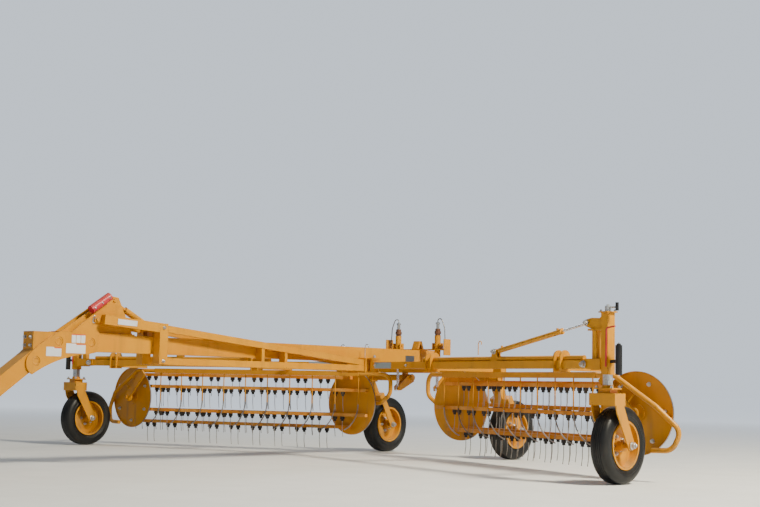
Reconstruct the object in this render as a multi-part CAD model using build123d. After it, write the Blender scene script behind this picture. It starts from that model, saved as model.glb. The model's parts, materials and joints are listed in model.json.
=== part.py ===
from build123d import *
import math
import os

# A towed twin basket rake. Millimetres, +X forward, +Y to the machine's left, +Z up.
# Pieces are drawn over the ground, with x = 0 under the front wheel hubs, and are
# stored about the hitch pin's centre. The left half is drawn, and the right half mirrors it.

# Whole machine
HITCH_X = 4560.0  # hitch pin, ahead of the front hubs
HITCH_H = 430.0  # hitch pin's middle over the ground
SIDES = {"left": 1, "right": -1}
RUN = 0.05  # radial clearance of a running fit
FREE = 0.5  # clearance between faces that turn past each other
EYE_FREE = 3.0  # radial clearance at a cylinder rod's eye, where its linkage is open

# Wheels, front and rear alike
WHEEL_R = 343.0
TYRE_W = 186.0
RIM_R = 205.0
RIM_W = 164.0
RIM_WALL = 8.0
FLANGE = 12.0  # rim flange, over the tyre's bead seat
BEAD_W = 124.0  # tyre's width at its bead seat
DISH = 18.0  # how far the rim's middle is set in
HUB_R = 52.0
HUB_W = 130.0
AXLE_R = 16.0
FORK_T = 12.0
FORK_GAP = 29.0  # tyre to fork blade
FORK_W = 80.0  # rear fork blade's width
BLADE_END_R = 50.0  # fork blade's round end, about the axle

# Backbone and gooseneck
BACK_FRONT = 3470.0
BACK_REAR = -2150.0
BACK_W = 160.0
BACK_H = 166.0
BACK_Z = 1172.0
TUBE_WALL = 8.0
CHEEK_T = 16.0
CHEEK_REAR = 2775.0
CHEEK_TOP = 1433.0
CHEEK_NOSE = (3540.0, 960.0)
CHEEK_HOLES = ((3207.0, 1172.0), (2854.0, 1173.0), (3440.0, 986.0))
CHEEK_HOLE_R = 42.0
TONGUE_START = (3395.0, 1050.0)
TONGUE_ELBOW = (4160.0, 470.0)
TONGUE_H = 150.0
PIN_R = 20.0  # hitch pin bore's radius
CLEVIS_GAP = 80.0
CLEVIS_T = 30.0
CLEVIS_W = 130.0
CLEVIS_L = 140.0  # from the head's end to the hitch pin
MAST_APEX = (2575.0, 1612.0)
MAST_FOOT = (3180.0, 2350.0)
STAY_Y = 150.0
STAY_W = 60.0
STAY_FOOT_X = 2075.0

# Wing arm: a level square tube from its pivot by the backbone to the front mast
PIVOT = (-850.0, 260.0)
KING = (170.0, 4000.0)  # caster's upright axis
ARM_Z = 1050.0
ARM_S = 76.0
PIVOT_PIN_R = 22.0
PIVOT_BOSS_R = 50.0
PIVOT_BOSS_H = 130.0
LUG_T = 16.0
RAIL_R = 24.0
ELBOW_BACK = 250.0  # mast's pin, back from the upright axis
HANGERS = (1150.0, 3250.0)  # along the arm
HANGER_S = 60.0

# Front mast and caster
MAST_S = 85.0
MAST_LOW = 960.0
MAST_TOP = 1505.0
POST_S = 62.0
POST_LOW = 868.0
POST_BACK = 145.0
MAST_PIN_R = 16.0
EYE_Z = 1422.0
CYL_BASE = 2260.0  # cylinder's base eye, along the arm
CYL_BASE_Z = 1180.0
BARREL_L = 1013.0  # base eye to the barrel's open end
CYL_R = 25.0
ROD_R = 11.0
EYE_R = 26.0
EYE_W = 24.0
KING_R = 24.0
CROWN_LOW = 690.0
CROWN_H = 107.0
CROWN_WALL = 10.0
CROWN_X = (-75.0, 94.0)  # before and behind the upright axis
DECK_Z = 831.0  # turning plate over the crown
DECK_T = 12.0

# Basket: two upright discs that face forward, skewed, joined by level tooth bars
DISC_OUT = (-600.0, 3820.0)
DISC_IN = (-1660.0, 856.0)
REEL_Z = 615.0
DISC_R = 390.0
DISC_T = 6.0
LIP_T = 10.0
LIP_L = 14.0
STUB_R = 22.0
BAR_COUNT = 6
BAR_CIRCLE = 300.0
BAR_S = 40.0
BAR_PIN_R = 12.0
BAR_OFF = 8.0  # disc face to bar bracket
PHASE = {"left": 4.0, "right": 30.0}
TINE_PITCH = 310.0
TINE_PAIR = 100.0
TINE_R = 3.5
TINE_DROP = 262.0  # bar's middle to the tine's tip
TINE_KICK = 80.0  # the dogleg's height
TINE_KICK_Y = 12.0
TINE_BEND = 60.0
MOUNT_DROP = 75.0
MOUNT_L = 46.0
MOUNT_T = 30.0

# Basket frame
BEAM_S = 60.0
BEAM_Z = 965.0
STRIP_OFF = 385.0  # reel's middle to the strippers, across the machine
STRIP_R = 7.0
FIRST_STRIPPER = 0.45  # in tine pitches from the outer disc
MOTOR_R = 60.0
HOOP_R = 25.0
HOOP_BEND = 110.0

# Rear frame, legs and lift cylinders
CROSS_X = -2100.0
CROSS_S = 100.0
CROSS_END = 46.0  # cross tube beyond its last lug
LUG_GAP = 68.0  # wheel's middle to the lug outside it
REAR_HUB = (-2430.0, 1000.0)
SHAFT_R = 38.0
SHAFT_Z = 930.0
CRANK_Y = 310.0
CRANK_PIN = (-1890.0, 800.0)
TRUNNION_Z = 1310.0
TRUNNION_R = 14.0
LIFT_R = 36.0
LIFT_HEAD_Z = 1510.0

arm_dx = KING[0] - PIVOT[0]
arm_dy = KING[1] - PIVOT[1]
ARM_LEN = math.hypot(arm_dx, arm_dy)
CROSS_HALF = REAR_HUB[1] + LUG_GAP + LUG_T + CROSS_END
ARM_ANGLE = math.degrees(math.atan2(arm_dy, arm_dx))
ELBOW = ARM_LEN - ELBOW_BACK
reel_dx = DISC_OUT[0] - DISC_IN[0]
reel_dy = DISC_OUT[1] - DISC_IN[1]
REEL_LEN = math.hypot(reel_dx, reel_dy)
SKEW = reel_dy / reel_dx
ON_ARM = Pos(PIVOT[0], PIVOT[1], 0) * Rot(0, 0, ARM_ANGLE)


def block(x, y, z):
    """A box between two limits on each axis."""
    size = [high - low for low, high in (x, y, z)]
    middle = [(high + low) / 2 for low, high in (x, y, z)]
    return Pos(*middle) * Box(*size)


def bar(start, end, width, height):
    """A rectangular bar between two points, its height nearest to upright."""
    along = Vector(*end) - Vector(*start)
    side = Vector(0, 0, 1).cross(along)
    plane = Plane(origin=start, x_dir=side, z_dir=along)
    return extrude(plane * Rectangle(width, height), along.length)


def tube(start, end, width, height, wall=TUBE_WALL):
    """A closed rectangular tube between two points."""
    along = (Vector(*end) - Vector(*start)).normalized() * wall
    inner_start = Vector(*start) + along
    inner_end = Vector(*end) - along
    core = bar(tuple(inner_start), tuple(inner_end), width - 2 * wall, height - 2 * wall)
    return bar(start, end, width, height) - core


def rod(start, end, radius):
    """A round bar between two points."""
    along = Vector(*end) - Vector(*start)
    return extrude(Plane(origin=start, z_dir=along) * Circle(radius), along.length)


def plate(points, low, high):
    """A plate cut to a side outline of x and z, between two values of y."""
    face = make_face(Polyline(*[(x, 0, z) for x, z in points], close=True))
    return Pos(0, high, 0) * extrude(face, high - low, dir=(0, -1, 0))


def bent_tube(points, radius, bend):
    """A round tube along straight runs joined by tangent arcs."""
    corners = [Vector(*point) for point in points]
    start = corners[0]
    edges = []
    for before, corner, after in zip(corners, corners[1:], corners[2:]):
        into = (corner - before).normalized()
        out = (after - corner).normalized()
        half = math.radians(into.get_angle(out)) / 2
        reach = bend * math.tan(half)
        first = corner - into * reach
        last = corner + out * reach
        middle = corner + (out - into).normalized() * bend * (1 / math.cos(half) - 1)
        edges.append(Line(start, first))
        edges.append(ThreePointArc(first, middle, last))
        start = last
    edges.append(Line(start, corners[-1]))
    path = Wire(edges)
    section = Plane(origin=points[0], z_dir=corners[1] - corners[0]) * Circle(radius)
    return sweep(section, path=path)


def reel_y(x):
    """The reel's middle, across the machine, at a station along it."""
    return DISC_OUT[1] + (x - DISC_OUT[0]) * SKEW


def bar_angles(side):
    return [PHASE[side] + 360.0 / BAR_COUNT * number for number in range(BAR_COUNT)]


# Wheels


def ring(outline):
    """A ring turned from an outline of radius and side offset."""
    face = make_face(Polyline(*[(radius, 0, offset) for radius, offset in outline], close=True))
    return revolve(face, Axis.Z, 360)


def tyre(x, y):
    """A closed tyre with round shoulders, its bore on the rim."""
    half = TYRE_W / 2
    side = [
        (RIM_R, BEAD_W / 2),
        (RIM_R + 30, half - 8),
        (RIM_R + 72, half),
        (WHEEL_R - 24, half - 4),
        (WHEEL_R - 7, half - 20),
        (WHEEL_R, half - 42),
    ]
    outline = side + [(radius, -offset) for radius, offset in reversed(side)]
    return Pos(x, y, WHEEL_R) * Rot(90, 0, 0) * ring(outline)


def rim(x, y):
    """The rim's flanged barrel, its dished middle and the hub."""
    half = RIM_W / 2
    inner = RIM_R - RIM_WALL
    outer = RIM_R + FLANGE
    barrel = [(inner, -half), (outer, -half), (outer, RIM_WALL - half), (RIM_R, RIM_WALL - half),
              (RIM_R, half - RIM_WALL), (outer, half - RIM_WALL), (outer, half), (inner, half)]
    middle = [(inner + 1, 4), (150, 4), (110, DISH), (HUB_R - 8, DISH),
              (HUB_R - 8, DISH - 8), (106, DISH - 8), (146, -4), (inner + 1, -4)]
    shape = ring(barrel) + ring(middle) + Cylinder(HUB_R, HUB_W)
    shape -= Cylinder(AXLE_R + RUN, HUB_W + 2)
    return Pos(x, y, WHEEL_R) * Rot(90, 0, 0) * shape


def axle(x, y):
    """The axle across a fork, with a spacer on each side of the hub."""
    inner = TYRE_W / 2 + FORK_GAP
    outer = inner + FORK_T + 10
    shape = rod((x, y - outer, WHEEL_R), (x, y + outer, WHEEL_R), AXLE_R)
    for side in (-1, 1):
        near = y + side * (HUB_W / 2 + FREE)
        shape += rod((x, near, WHEEL_R), (x, y + side * inner, WHEEL_R), AXLE_R + 9)
    return shape


def caster_blades(y):
    """Two broad blades and the axle, from the crown down to the hub."""
    front = KING[0] + CROWN_X[1]
    top = CROWN_LOW + CROWN_H
    outline = [
        (front, top),
        (front - 130, top),
        (front - 145, CROWN_LOW),
        (2 - BLADE_END_R, WHEEL_R + 30),
        (4 - BLADE_END_R, WHEEL_R),
        (BLADE_END_R - 6, WHEEL_R - 18),
        (front - 38, CROWN_LOW - 65),
    ]
    inner = TYRE_W / 2 + FORK_GAP
    outer = inner + FORK_T
    shape = axle(0, y)
    for low, high in ((inner, outer), (-outer, -inner)):
        shape += plate(outline, y + low, y + high)
        shape += rod((0, y + low, WHEEL_R), (0, y + high, WHEEL_R), BLADE_END_R)
    return shape


def caster_fork():
    """The caster's crown, turning plate, king pin and fork."""
    x, y = KING
    half = TYRE_W / 2 + FORK_GAP + FORK_T
    ends = (x + CROWN_X[0], x + CROWN_X[1])
    top = CROWN_LOW + CROWN_H
    shape = block(ends, (y - half, y + half), (CROWN_LOW, top))
    shape -= block((ends[0] + CROWN_WALL, ends[1] - CROWN_WALL), (y - half + FORK_T, y + half - FORK_T),
                   (CROWN_LOW + CROWN_WALL, top - CROWN_WALL))
    shape += block((x - 60, x + 60), (y - 60, y + 60), (top - 1, DECK_Z + 1))
    shape += block((x - 80, x + 80), (y - 95, y + 95), (DECK_Z, DECK_Z + DECK_T))
    shape += rod((x, y, DECK_Z), (x, y, MAST_LOW - 30), KING_R)
    shape += rod((x, y, DECK_Z), (x, y, POST_LOW - FREE), 50)
    return shape + caster_blades(y)


# Backbone, gooseneck and stays


def backbone():
    ends = ((BACK_REAR, 0, BACK_Z), (BACK_FRONT, 0, BACK_Z))
    return tube(*ends, BACK_W, BACK_H)


def gooseneck_cheeks():
    """Two curved side plates that join the backbone to the sloping tongue."""
    top = BACK_Z + BACK_H / 2
    heel = (CHEEK_REAR, 0, BACK_Z - BACK_H / 2 - 2)
    arch = (CHEEK_REAR + 95, 0, 1066)
    toe = (CHEEK_NOSE[0] - 67, 0, CHEEK_NOSE[1] - 94)
    brow = (CHEEK_NOSE[0] - 20, 0, CHEEK_NOSE[1] + 75)
    shoulder = (CHEEK_REAR + 418, 0, top + 10)
    edges = [
        Line(heel, (CHEEK_REAR, 0, CHEEK_TOP)),
        Line((CHEEK_REAR, 0, CHEEK_TOP), (CHEEK_REAR + 76, 0, CHEEK_TOP)),
        Line((CHEEK_REAR + 76, 0, CHEEK_TOP), (CHEEK_REAR + 292, 0, top + 11)),
        Line((CHEEK_REAR + 292, 0, top + 11), shoulder),
        ThreePointArc(shoulder, (CHEEK_REAR + 593, 0, 1166), brow),
        ThreePointArc(brow, (CHEEK_NOSE[0], 0, CHEEK_NOSE[1]), toe),
        ThreePointArc(toe, (CHEEK_REAR + 415, 0, 1003), arch),
        Line(arch, heel),
    ]
    face = make_face(Wire(edges))
    inner = BACK_W / 2
    shape = Pos(0, inner + CHEEK_T, 0) * extrude(face, CHEEK_T, dir=(0, -1, 0))
    for x, z in CHEEK_HOLES:
        shape -= rod((x, 0, z), (x, 2 * inner, z), CHEEK_HOLE_R)
    return Compound([shape, on_right(shape)])


def hitch_tube():
    """The sloping tongue and its level head, with the clevis for the towing vehicle's bar."""
    head = HITCH_X - CLEVIS_L
    side = BACK_W / 2
    half = TONGUE_H / 2
    under = BACK_Z - BACK_H / 2
    start = (TONGUE_START[0], 0, TONGUE_START[1])
    elbow = (TONGUE_ELBOW[0], 0, TONGUE_ELBOW[1])
    shape = tube(start, elbow, BACK_W, TONGUE_H)
    shape -= block((0, HITCH_X), (-BACK_W, BACK_W), (under, under + BACK_H * 2))
    shape += block((TONGUE_ELBOW[0] - 40, head), (-side, side), (HITCH_H - half, HITCH_H + half))
    shape -= block((TONGUE_ELBOW[0] - 60, head - TUBE_WALL), (TUBE_WALL - side, side - TUBE_WALL),
                   (HITCH_H - half + TUBE_WALL, HITCH_H + half - TUBE_WALL))
    low = HITCH_H - CLEVIS_GAP / 2
    high = HITCH_H + CLEVIS_GAP / 2
    end = CLEVIS_W / 2
    shape += block((head, head + 40), (-side, side), (low - CLEVIS_T, high + CLEVIS_T))
    for base in (low - CLEVIS_T, high):
        shape += block((head + 30, HITCH_X), (-end, end), (base, base + CLEVIS_T))
        shape += rod((HITCH_X, 0, base), (HITCH_X, 0, base + CLEVIS_T), end)
    return shape - rod((HITCH_X, 0, low - CLEVIS_T - 1), (HITCH_X, 0, high + CLEVIS_T + 1), PIN_R)


def gooseneck_mast():
    top = BACK_Z + BACK_H / 2
    outline = [(MAST_FOOT[0], top), (MAST_FOOT[1], top), (MAST_APEX[0] - 45, MAST_APEX[1]),
               (MAST_APEX[0] + 45, MAST_APEX[1] + 10)]
    half = BACK_W / 2
    shape = plate(outline, 38, 50) + plate(outline, -50, -38)
    shape += block((MAST_FOOT[1], MAST_FOOT[0]), (-half, half), (top, top + 12))
    apex = (MAST_APEX[0], MAST_APEX[1] - 30)
    shape += rod((apex[0], -62, apex[1]), (apex[0], 62, apex[1]), 16)
    shape += rod((apex[0], -30, apex[1]), (apex[0], 30, apex[1]), 34)
    foot = (2060, 0, top + 60)
    shape += rod((apex[0], 0, apex[1]), foot, 18)
    shape += rod((2420, 0, apex[1] + (foot[2] - apex[1]) * 155 / 515), foot, 32)
    shape += block((2000, 2110), (-45, 45), (top, top + 90))
    return shape


def side_stay():
    """One side's upper stay, post and lower bar, between gooseneck and wing pivot."""
    y = STAY_Y
    inner = BACK_W / 2 + CHEEK_T
    top_front = (CHEEK_REAR - 4, y, CHEEK_TOP - 42)
    knee = (STAY_FOOT_X, y, 1340)
    block_x = PIVOT[0] + 80
    low_z = ARM_Z - 30
    shape = tube(top_front, knee, STAY_W, 90, 5)
    shape += tube(knee, (block_x - 10, y, ARM_Z + 30), STAY_W - 6, 66, 5)
    shape += tube((block_x, y, low_z), (STAY_FOOT_X, y, low_z), STAY_W, 66, 5)
    shape += block((STAY_FOOT_X - 50, STAY_FOOT_X + 50), (BACK_W / 2, y + 32), (990, 1385))
    shape += block((top_front[0] - 56, top_front[0] + 70), (inner, y - STAY_W / 2 + 1),
                   (top_front[2] - 29, top_front[2] + 29))
    shape += rod((top_front[0] + 42, inner, top_front[2]), (top_front[0] + 42, y - 14, top_front[2]), 17)
    for x in (430, 760):
        shape += block((x - 20, x + 20), (BACK_W / 2, y + 20), (low_z, BACK_Z + 18))
    return shape - block((block_x - 300, block_x), (0, 400), (900, 1300))


def pivot_bracket():
    """Upper and lower lugs round the wing's pivot pin, with the block that joins them."""
    half = PIVOT_BOSS_H / 2 + FREE
    x, y = PIVOT
    ends = (ARM_Z - half - LUG_T, ARM_Z + half + LUG_T)
    shape = block((x - 95, x + 80), (BACK_W / 2, y - PIVOT_BOSS_R - 12), ends)
    for low in (ARM_Z - half - LUG_T, ARM_Z + half):
        shape += block((x - 60, x + 60), (BACK_W / 2, y), (low, low + LUG_T))
        shape += rod((x, y, low), (x, y, low + LUG_T), 60)
    pin = rod((x, y, ends[0] - 8), (x, y, ends[1] + 8), PIVOT_PIN_R)
    return shape + pin


# Wing arm, mast and its cylinder, in the arm's own frame: x along it, y to its left


def wing_arm():
    shape = tube((30, 0, ARM_Z), (ELBOW + 20, 0, ARM_Z), ARM_S, ARM_S, 6)
    half = PIVOT_BOSS_H / 2
    shape += rod((0, 0, ARM_Z - half), (0, 0, ARM_Z + half), PIVOT_BOSS_R)
    shape -= rod((0, 0, 900), (0, 0, 1200), PIVOT_PIN_R + RUN)
    top = ARM_Z + ARM_S / 2
    shape += rod((1000, 0, top + RAIL_R - 2), (ELBOW - 60, 0, top + RAIL_R - 2), RAIL_R)
    for place in HANGERS:
        shape += hanger(place)
    for y in (-EYE_W / 2 - FREE * 4 - 10, EYE_W / 2 + FREE * 4):
        lug = plate([(CYL_BASE - 70, top), (CYL_BASE + 50, top), (CYL_BASE + 28, CYL_BASE_Z + 24),
                     (CYL_BASE - 28, CYL_BASE_Z + 24)], y, y + 10)
        shape += lug
    shape += rod((CYL_BASE, -30, CYL_BASE_Z), (CYL_BASE, 30, CYL_BASE_Z), MAST_PIN_R - 2)
    shape -= rod((ELBOW, -60, ARM_Z), (ELBOW, 60, ARM_Z), MAST_PIN_R + RUN)
    return ON_ARM * shape


def hanger(place):
    """A tube from the arm back to the basket's beam, between two round-topped plates."""
    start = ON_ARM * Pos(place, 0, 0)
    x = start.position.X
    y = start.position.Y
    normal = (-math.sin(math.radians(ARM_ANGLE)), math.cos(math.radians(ARM_ANGLE)))
    # Along the arm's normal, the distance to the line over the beam
    gap = (reel_y(x) - STRIP_OFF - y) / (normal[1] - normal[0] * SKEW)
    shape = bar((place, ARM_S / 2 - 2, BEAM_Z + BEAM_S), (place, gap + 30, BEAM_Z + BEAM_S), HANGER_S, BEAM_S)
    for offset in (-50, 38):
        low = place + offset
        cheek = block((low, low + 12), (-62, 62), (ARM_Z - 70, ARM_Z + 70))
        cheek += rod((low, 0, ARM_Z + 70), (low + 12, 0, ARM_Z + 70), 62)
        shape += cheek
    return shape


def front_mast():
    """The upright sleeve, its inner post, brackets, eye plates and pins."""
    half = MAST_S / 2
    end = ARM_LEN
    shape = block((end - half, end + half), (-half, half), (MAST_LOW, MAST_TOP))
    shape -= block((end - POST_S / 2, end + POST_S / 2), (-POST_S / 2, POST_S / 2), (MAST_LOW - 1, MAST_TOP - 60))
    shape += block((end - 60, end + 60), (-60, 60), (MAST_TOP, MAST_TOP + 10))
    post = end - POST_BACK
    shape += block((post - 30, post + 30), (-30, 30), (1000, 1350))
    shape += block((ELBOW + 20, end - half), (-34, 34), (1350, 1366))
    for y in (-ARM_S / 2 - 6 - 12, ARM_S / 2 + 6):
        side = plate([(ELBOW - 45, 1015), (end - half, 1000), (end - half, 1100), (ELBOW + 20, 1100),
                      (ELBOW - 45, 1085)], y, y + 12)
        shape += side
    shape += block((post - 30, end - half), (-ARM_S / 2 - 6, ARM_S / 2 + 6), (1000, 1016))
    shape += rod((ELBOW, -ARM_S / 2 - 26, ARM_Z), (ELBOW, ARM_S / 2 + 26, ARM_Z), MAST_PIN_R)
    for y in (-EYE_W / 2 - FREE * 4 - 10, EYE_W / 2 + FREE * 4):
        ear = plate([(ELBOW - 30, EYE_Z - 26), (ELBOW + 60, 1366), (end - half, 1366), (end - half, 1490),
                     (end - 80, 1460), (ELBOW + 60, 1465), (ELBOW - 30, EYE_Z + 26)], y, y + 10)
        shape += ear
    shape += rod((ELBOW, -32, EYE_Z), (ELBOW, 32, EYE_Z), MAST_PIN_R - 2)
    return ON_ARM * shape


def caster_post():
    """The post that slides out of the sleeve, with the bore for the caster's king pin."""
    half = POST_S / 2 - FREE
    end = ARM_LEN
    shape = block((end - half, end + half), (-half, half), (POST_LOW, MAST_TOP - 60))
    shape -= rod((end, 0, POST_LOW - 1), (end, 0, 940), KING_R + RUN)
    return ON_ARM * Compound([shape, crank_head()])


def crank_head():
    """The screw's gear head and its crank, on the mast's top plate."""
    end = ARM_LEN
    top = MAST_TOP + 10
    shape = rod((end, 0, top), (end, 0, top + 50), 27)
    shape += rod((end, 0, top + 50), (end, 0, top + 64), 12)
    shape += rod((end, 0, top + 36), (end + 118, 0, top + 36), 8)
    return shape + rod((end + 118, 0, top + 4), (end + 118, 0, top + 76), 15)


def mast_canister():
    """The upright canister on its short bracket, on the sleeve's outer face."""
    face = ARM_LEN + MAST_S / 2
    middle = face + 98
    shape = rod((middle, 0, MAST_LOW - 4), (middle, 0, MAST_LOW + 256), 30)
    shape += block((face, middle - 20), (-12, 12), (MAST_LOW + 100, MAST_LOW + 130))
    return ON_ARM * shape


def lift_barrel():
    base = Vector(CYL_BASE, 0, CYL_BASE_Z)
    along = (Vector(ELBOW, 0, EYE_Z) - base).normalized()
    near = base + along * 52
    far = base + along * BARREL_L
    shape = rod(tuple(near), tuple(far), CYL_R)
    shape += rod(tuple(far - along * 30), tuple(far), CYL_R + 4)
    for place in (90, BARREL_L - 70):
        port = base + along * place
        shape += rod(tuple(port), tuple(port + Vector(0, 0, CYL_R + 16)), 12)
    shape += rod((CYL_BASE, -EYE_W / 2, CYL_BASE_Z), (CYL_BASE, EYE_W / 2, CYL_BASE_Z), EYE_R)
    shape += bar(tuple(base), tuple(near), EYE_W, 30)
    shape -= rod(tuple(base + along * (BARREL_L - 400)), tuple(far + along), ROD_R + RUN)
    shape -= rod((CYL_BASE, -30, CYL_BASE_Z), (CYL_BASE, 30, CYL_BASE_Z), MAST_PIN_R - 2 + RUN)
    return ON_ARM * shape


def lift_rod():
    base = Vector(CYL_BASE, 0, CYL_BASE_Z)
    eye = Vector(ELBOW, 0, EYE_Z)
    along = (eye - base).normalized()
    shape = rod(tuple(base + along * (BARREL_L - 260)), tuple(eye - along * 12), ROD_R)
    shape += rod(tuple(eye - along * 70), tuple(eye - along * 15), ROD_R + 3)
    shape += rod((ELBOW, -EYE_W / 2, EYE_Z), (ELBOW, EYE_W / 2, EYE_Z), EYE_R)
    shape -= rod((ELBOW, -30, EYE_Z), (ELBOW, 30, EYE_Z), MAST_PIN_R - 2 + EYE_FREE)
    return ON_ARM * shape


# Basket


def basket_frame():
    """The beam over the reel's front, its end hoops, hub arm and strippers."""
    start_x = DISC_IN[0] + 70
    end_x = DISC_OUT[0] - 20
    start = (start_x, reel_y(start_x) - STRIP_OFF, BEAM_Z)
    end = (end_x, reel_y(end_x) - STRIP_OFF, BEAM_Z)
    shape = tube(start, end, BEAM_S, BEAM_S, 5)
    front_x = DISC_OUT[0] + 90
    outer = [
        (end_x - 20, end[1] - 56, BEAM_Z),
        (front_x, reel_y(front_x) - STRIP_OFF - 60, BEAM_Z),
        (front_x, DISC_OUT[1] + 260, REEL_Z + 65),
        (DISC_OUT[0] + 15, DISC_OUT[1] + 470, REEL_Z - 150),
        (DISC_OUT[0] + 50, DISC_OUT[1] + 400, REEL_Z - 325),
        (DISC_OUT[0] + 60, DISC_OUT[1] + 195, REEL_Z - 330),
    ]
    shape += bent_tube(outer, HOOP_R, HOOP_BEND)
    back_x = DISC_IN[0] - 85
    inner = [
        (start_x + 10, start[1] + 28, BEAM_Z),
        (back_x, DISC_IN[1] - 560, BEAM_Z),
        (back_x, DISC_IN[1] - 560, REEL_Z + 110),
        (back_x, DISC_IN[1] - 400, REEL_Z),
        (back_x, DISC_IN[1], REEL_Z),
    ]
    shape += bent_tube(inner, HOOP_R, HOOP_BEND)
    shape -= rod((back_x - 200, DISC_IN[1], REEL_Z), (back_x + 80, DISC_IN[1], REEL_Z), MOTOR_R)
    shape += hub_arm(front_x)
    spacing = TINE_PITCH * -reel_dx / REEL_LEN
    first = DISC_OUT[0] + spacing * FIRST_STRIPPER
    while first > DISC_IN[0] + 60:
        shape += stripper(first)
        first += spacing
    return shape


def hub_arm(front_x):
    """The arm and bearing that carry the outer disc, tied to the hoop by two struts."""
    x = (front_x - 12, front_x + 12)
    y, z = DISC_OUT[1], REEL_Z
    shape = rod((x[0] - 30, y, z), (x[1], y, z), 52)
    shape += bar((front_x, y - 330, BEAM_Z - 20), (front_x, y, z), 24, 90)
    for place in (0.45, 0.8):
        foot = (front_x, y - 330 * (1 - place), BEAM_Z - 20 + (z - BEAM_Z + 20) * place)
        shape += rod(foot, (front_x, foot[1] + 90, foot[2] + 115), 8)
    return shape - rod((x[0] - 40, y, z), (x[1] + 10, y, z), STUB_R + RUN)


def stripper(x):
    """A rod hung from the beam, that bends under the reel between two rows of tines."""
    y = reel_y(x) - STRIP_OFF
    turn = STRIP_OFF - BAR_S / 2 / abs(reel_dx) * REEL_LEN
    low = REEL_Z - BAR_S / 2
    angle = math.radians(72)
    line = Line((x, y, BEAM_Z), (x, y, low))
    middle = (x, y + turn * (1 - math.cos(angle / 2)), low - turn * math.sin(angle / 2))
    last = (x, y + turn * (1 - math.cos(angle)), low - turn * math.sin(angle))
    path = Wire([line, ThreePointArc((x, y, low), middle, last)])
    section = Plane(origin=(x, y, BEAM_Z), z_dir=(0, 0, -1)) * Circle(STRIP_R)
    return sweep(section, path=path)


def disc(centre, facing):
    """A disc with its lip, hub ring and stub shaft on the side away from the bars."""
    shape = Cylinder(DISC_R, DISC_T)
    lip = Cylinder(DISC_R, LIP_L) - Cylinder(DISC_R - LIP_T, LIP_L + 2)
    shape += Pos(0, 0, LIP_L / 2) * lip
    shape += Pos(0, 0, LIP_L / 2) * Cylinder(STUB_R * 4, LIP_L)
    shape += Pos(0, 0, 60) * Cylinder(STUB_R, 120)
    return Pos(*centre, REEL_Z) * Rot(0, 90 * facing, 0) * shape


def drilled_disc(centre, facing, side):
    shape = disc(centre, facing)
    for angle in bar_angles(side):
        y = centre[1] + BAR_CIRCLE * math.cos(math.radians(angle))
        z = REEL_Z + BAR_CIRCLE * math.sin(math.radians(angle))
        shape -= rod((centre[0] - 40, y, z), (centre[0] + 40, y, z), BAR_PIN_R + RUN)
    return shape


def drive_motor():
    """The hydraulic motor behind the inner disc, on the hoop's end."""
    x, y = DISC_IN
    shape = rod((x - 150, y, REEL_Z), (x - 45, y, REEL_Z), MOTOR_R)
    shape -= rod((x - 131, y, REEL_Z), (x, y, REEL_Z), STUB_R + RUN)
    return shape


def tooth_bar(sign):
    """A tooth bar on the reel's own middle line, with its end brackets, pins and tines."""
    along = Vector(-reel_dx, -reel_dy * sign, 0).normalized()
    near = (BAR_OFF + 30) / abs(along.X)
    start = Vector(DISC_OUT[0], DISC_OUT[1] * sign, REEL_Z)
    first = start + along * near
    last = start + along * (REEL_LEN - near)
    shape = tube(tuple(first), tuple(last), BAR_S, BAR_S, 4)
    for place, inward in ((start, 1), (start + along * REEL_LEN, -1)):
        face = place.X - inward * (DISC_T / 2 + BAR_OFF)
        depth = place.X - inward * 58
        across = sorted((place.Y + inward * sign * 22, place.Y - inward * sign * 130))
        shape += block(sorted((face, depth)), across, (REEL_Z - BAR_S / 2, REEL_Z + BAR_S / 2))
        shape += rod((face, place.Y, REEL_Z), (place.X + inward * 18, place.Y, REEL_Z), BAR_PIN_R)
    place = TINE_PITCH * (FIRST_STRIPPER + 0.5) - TINE_PAIR / 2
    while place + TINE_PAIR < REEL_LEN - 120:
        shape += tine(start + along * place, along, sign)
        shape += tine(start + along * (place + TINE_PAIR), along, sign)
        place += TINE_PITCH
    return shape


def tine(point, along, sign):
    """A rubber mount under the bar and the dogleg tooth that it holds."""
    top = point - Vector(0, 0, BAR_S / 2 - 2)
    waist = point - Vector(0, 0, BAR_S / 2 + (MOUNT_DROP - BAR_S / 2) * 0.6)
    low = point - Vector(0, 0, MOUNT_DROP)
    down = (0, 0, -1)
    upper = Plane(origin=top, x_dir=along, z_dir=down) * Rectangle(MOUNT_L, MOUNT_T)
    lower = Plane(origin=waist, x_dir=along, z_dir=down) * Rectangle(MOUNT_L * 0.6, MOUNT_T * 0.7)
    shape = extrude(upper, (top - waist).length) + extrude(lower, (waist - low).length)
    knee = point - Vector(0, 0, TINE_DROP - TINE_KICK)
    tip = point - Vector(0, TINE_KICK_Y * sign, TINE_DROP)
    return shape + bent_tube([tuple(low), tuple(knee), tuple(tip)], TINE_R, TINE_BEND)


# Rear frame


def rear_cross():
    top = BACK_Z - BACK_H / 2
    x = (CROSS_X - CROSS_S / 2, CROSS_X + CROSS_S / 2)
    shape = tube((CROSS_X, -CROSS_HALF, top - CROSS_S / 2), (CROSS_X, CROSS_HALF, top - CROSS_S / 2),
                 CROSS_S, CROSS_S, 8)
    for side in (-1, 1):
        for y in (CRANK_Y + 60, REAR_HUB[1] - LUG_GAP - 52, REAR_HUB[1] + LUG_GAP):
            lug = block(x, sorted((side * y, side * (y + LUG_T))), (SHAFT_Z - 55, top - CROSS_S + 1))
            lug -= rod((CROSS_X, -2000, SHAFT_Z), (CROSS_X, 2000, SHAFT_Z), SHAFT_R + RUN)
            shape += lug
    return shape


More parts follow.
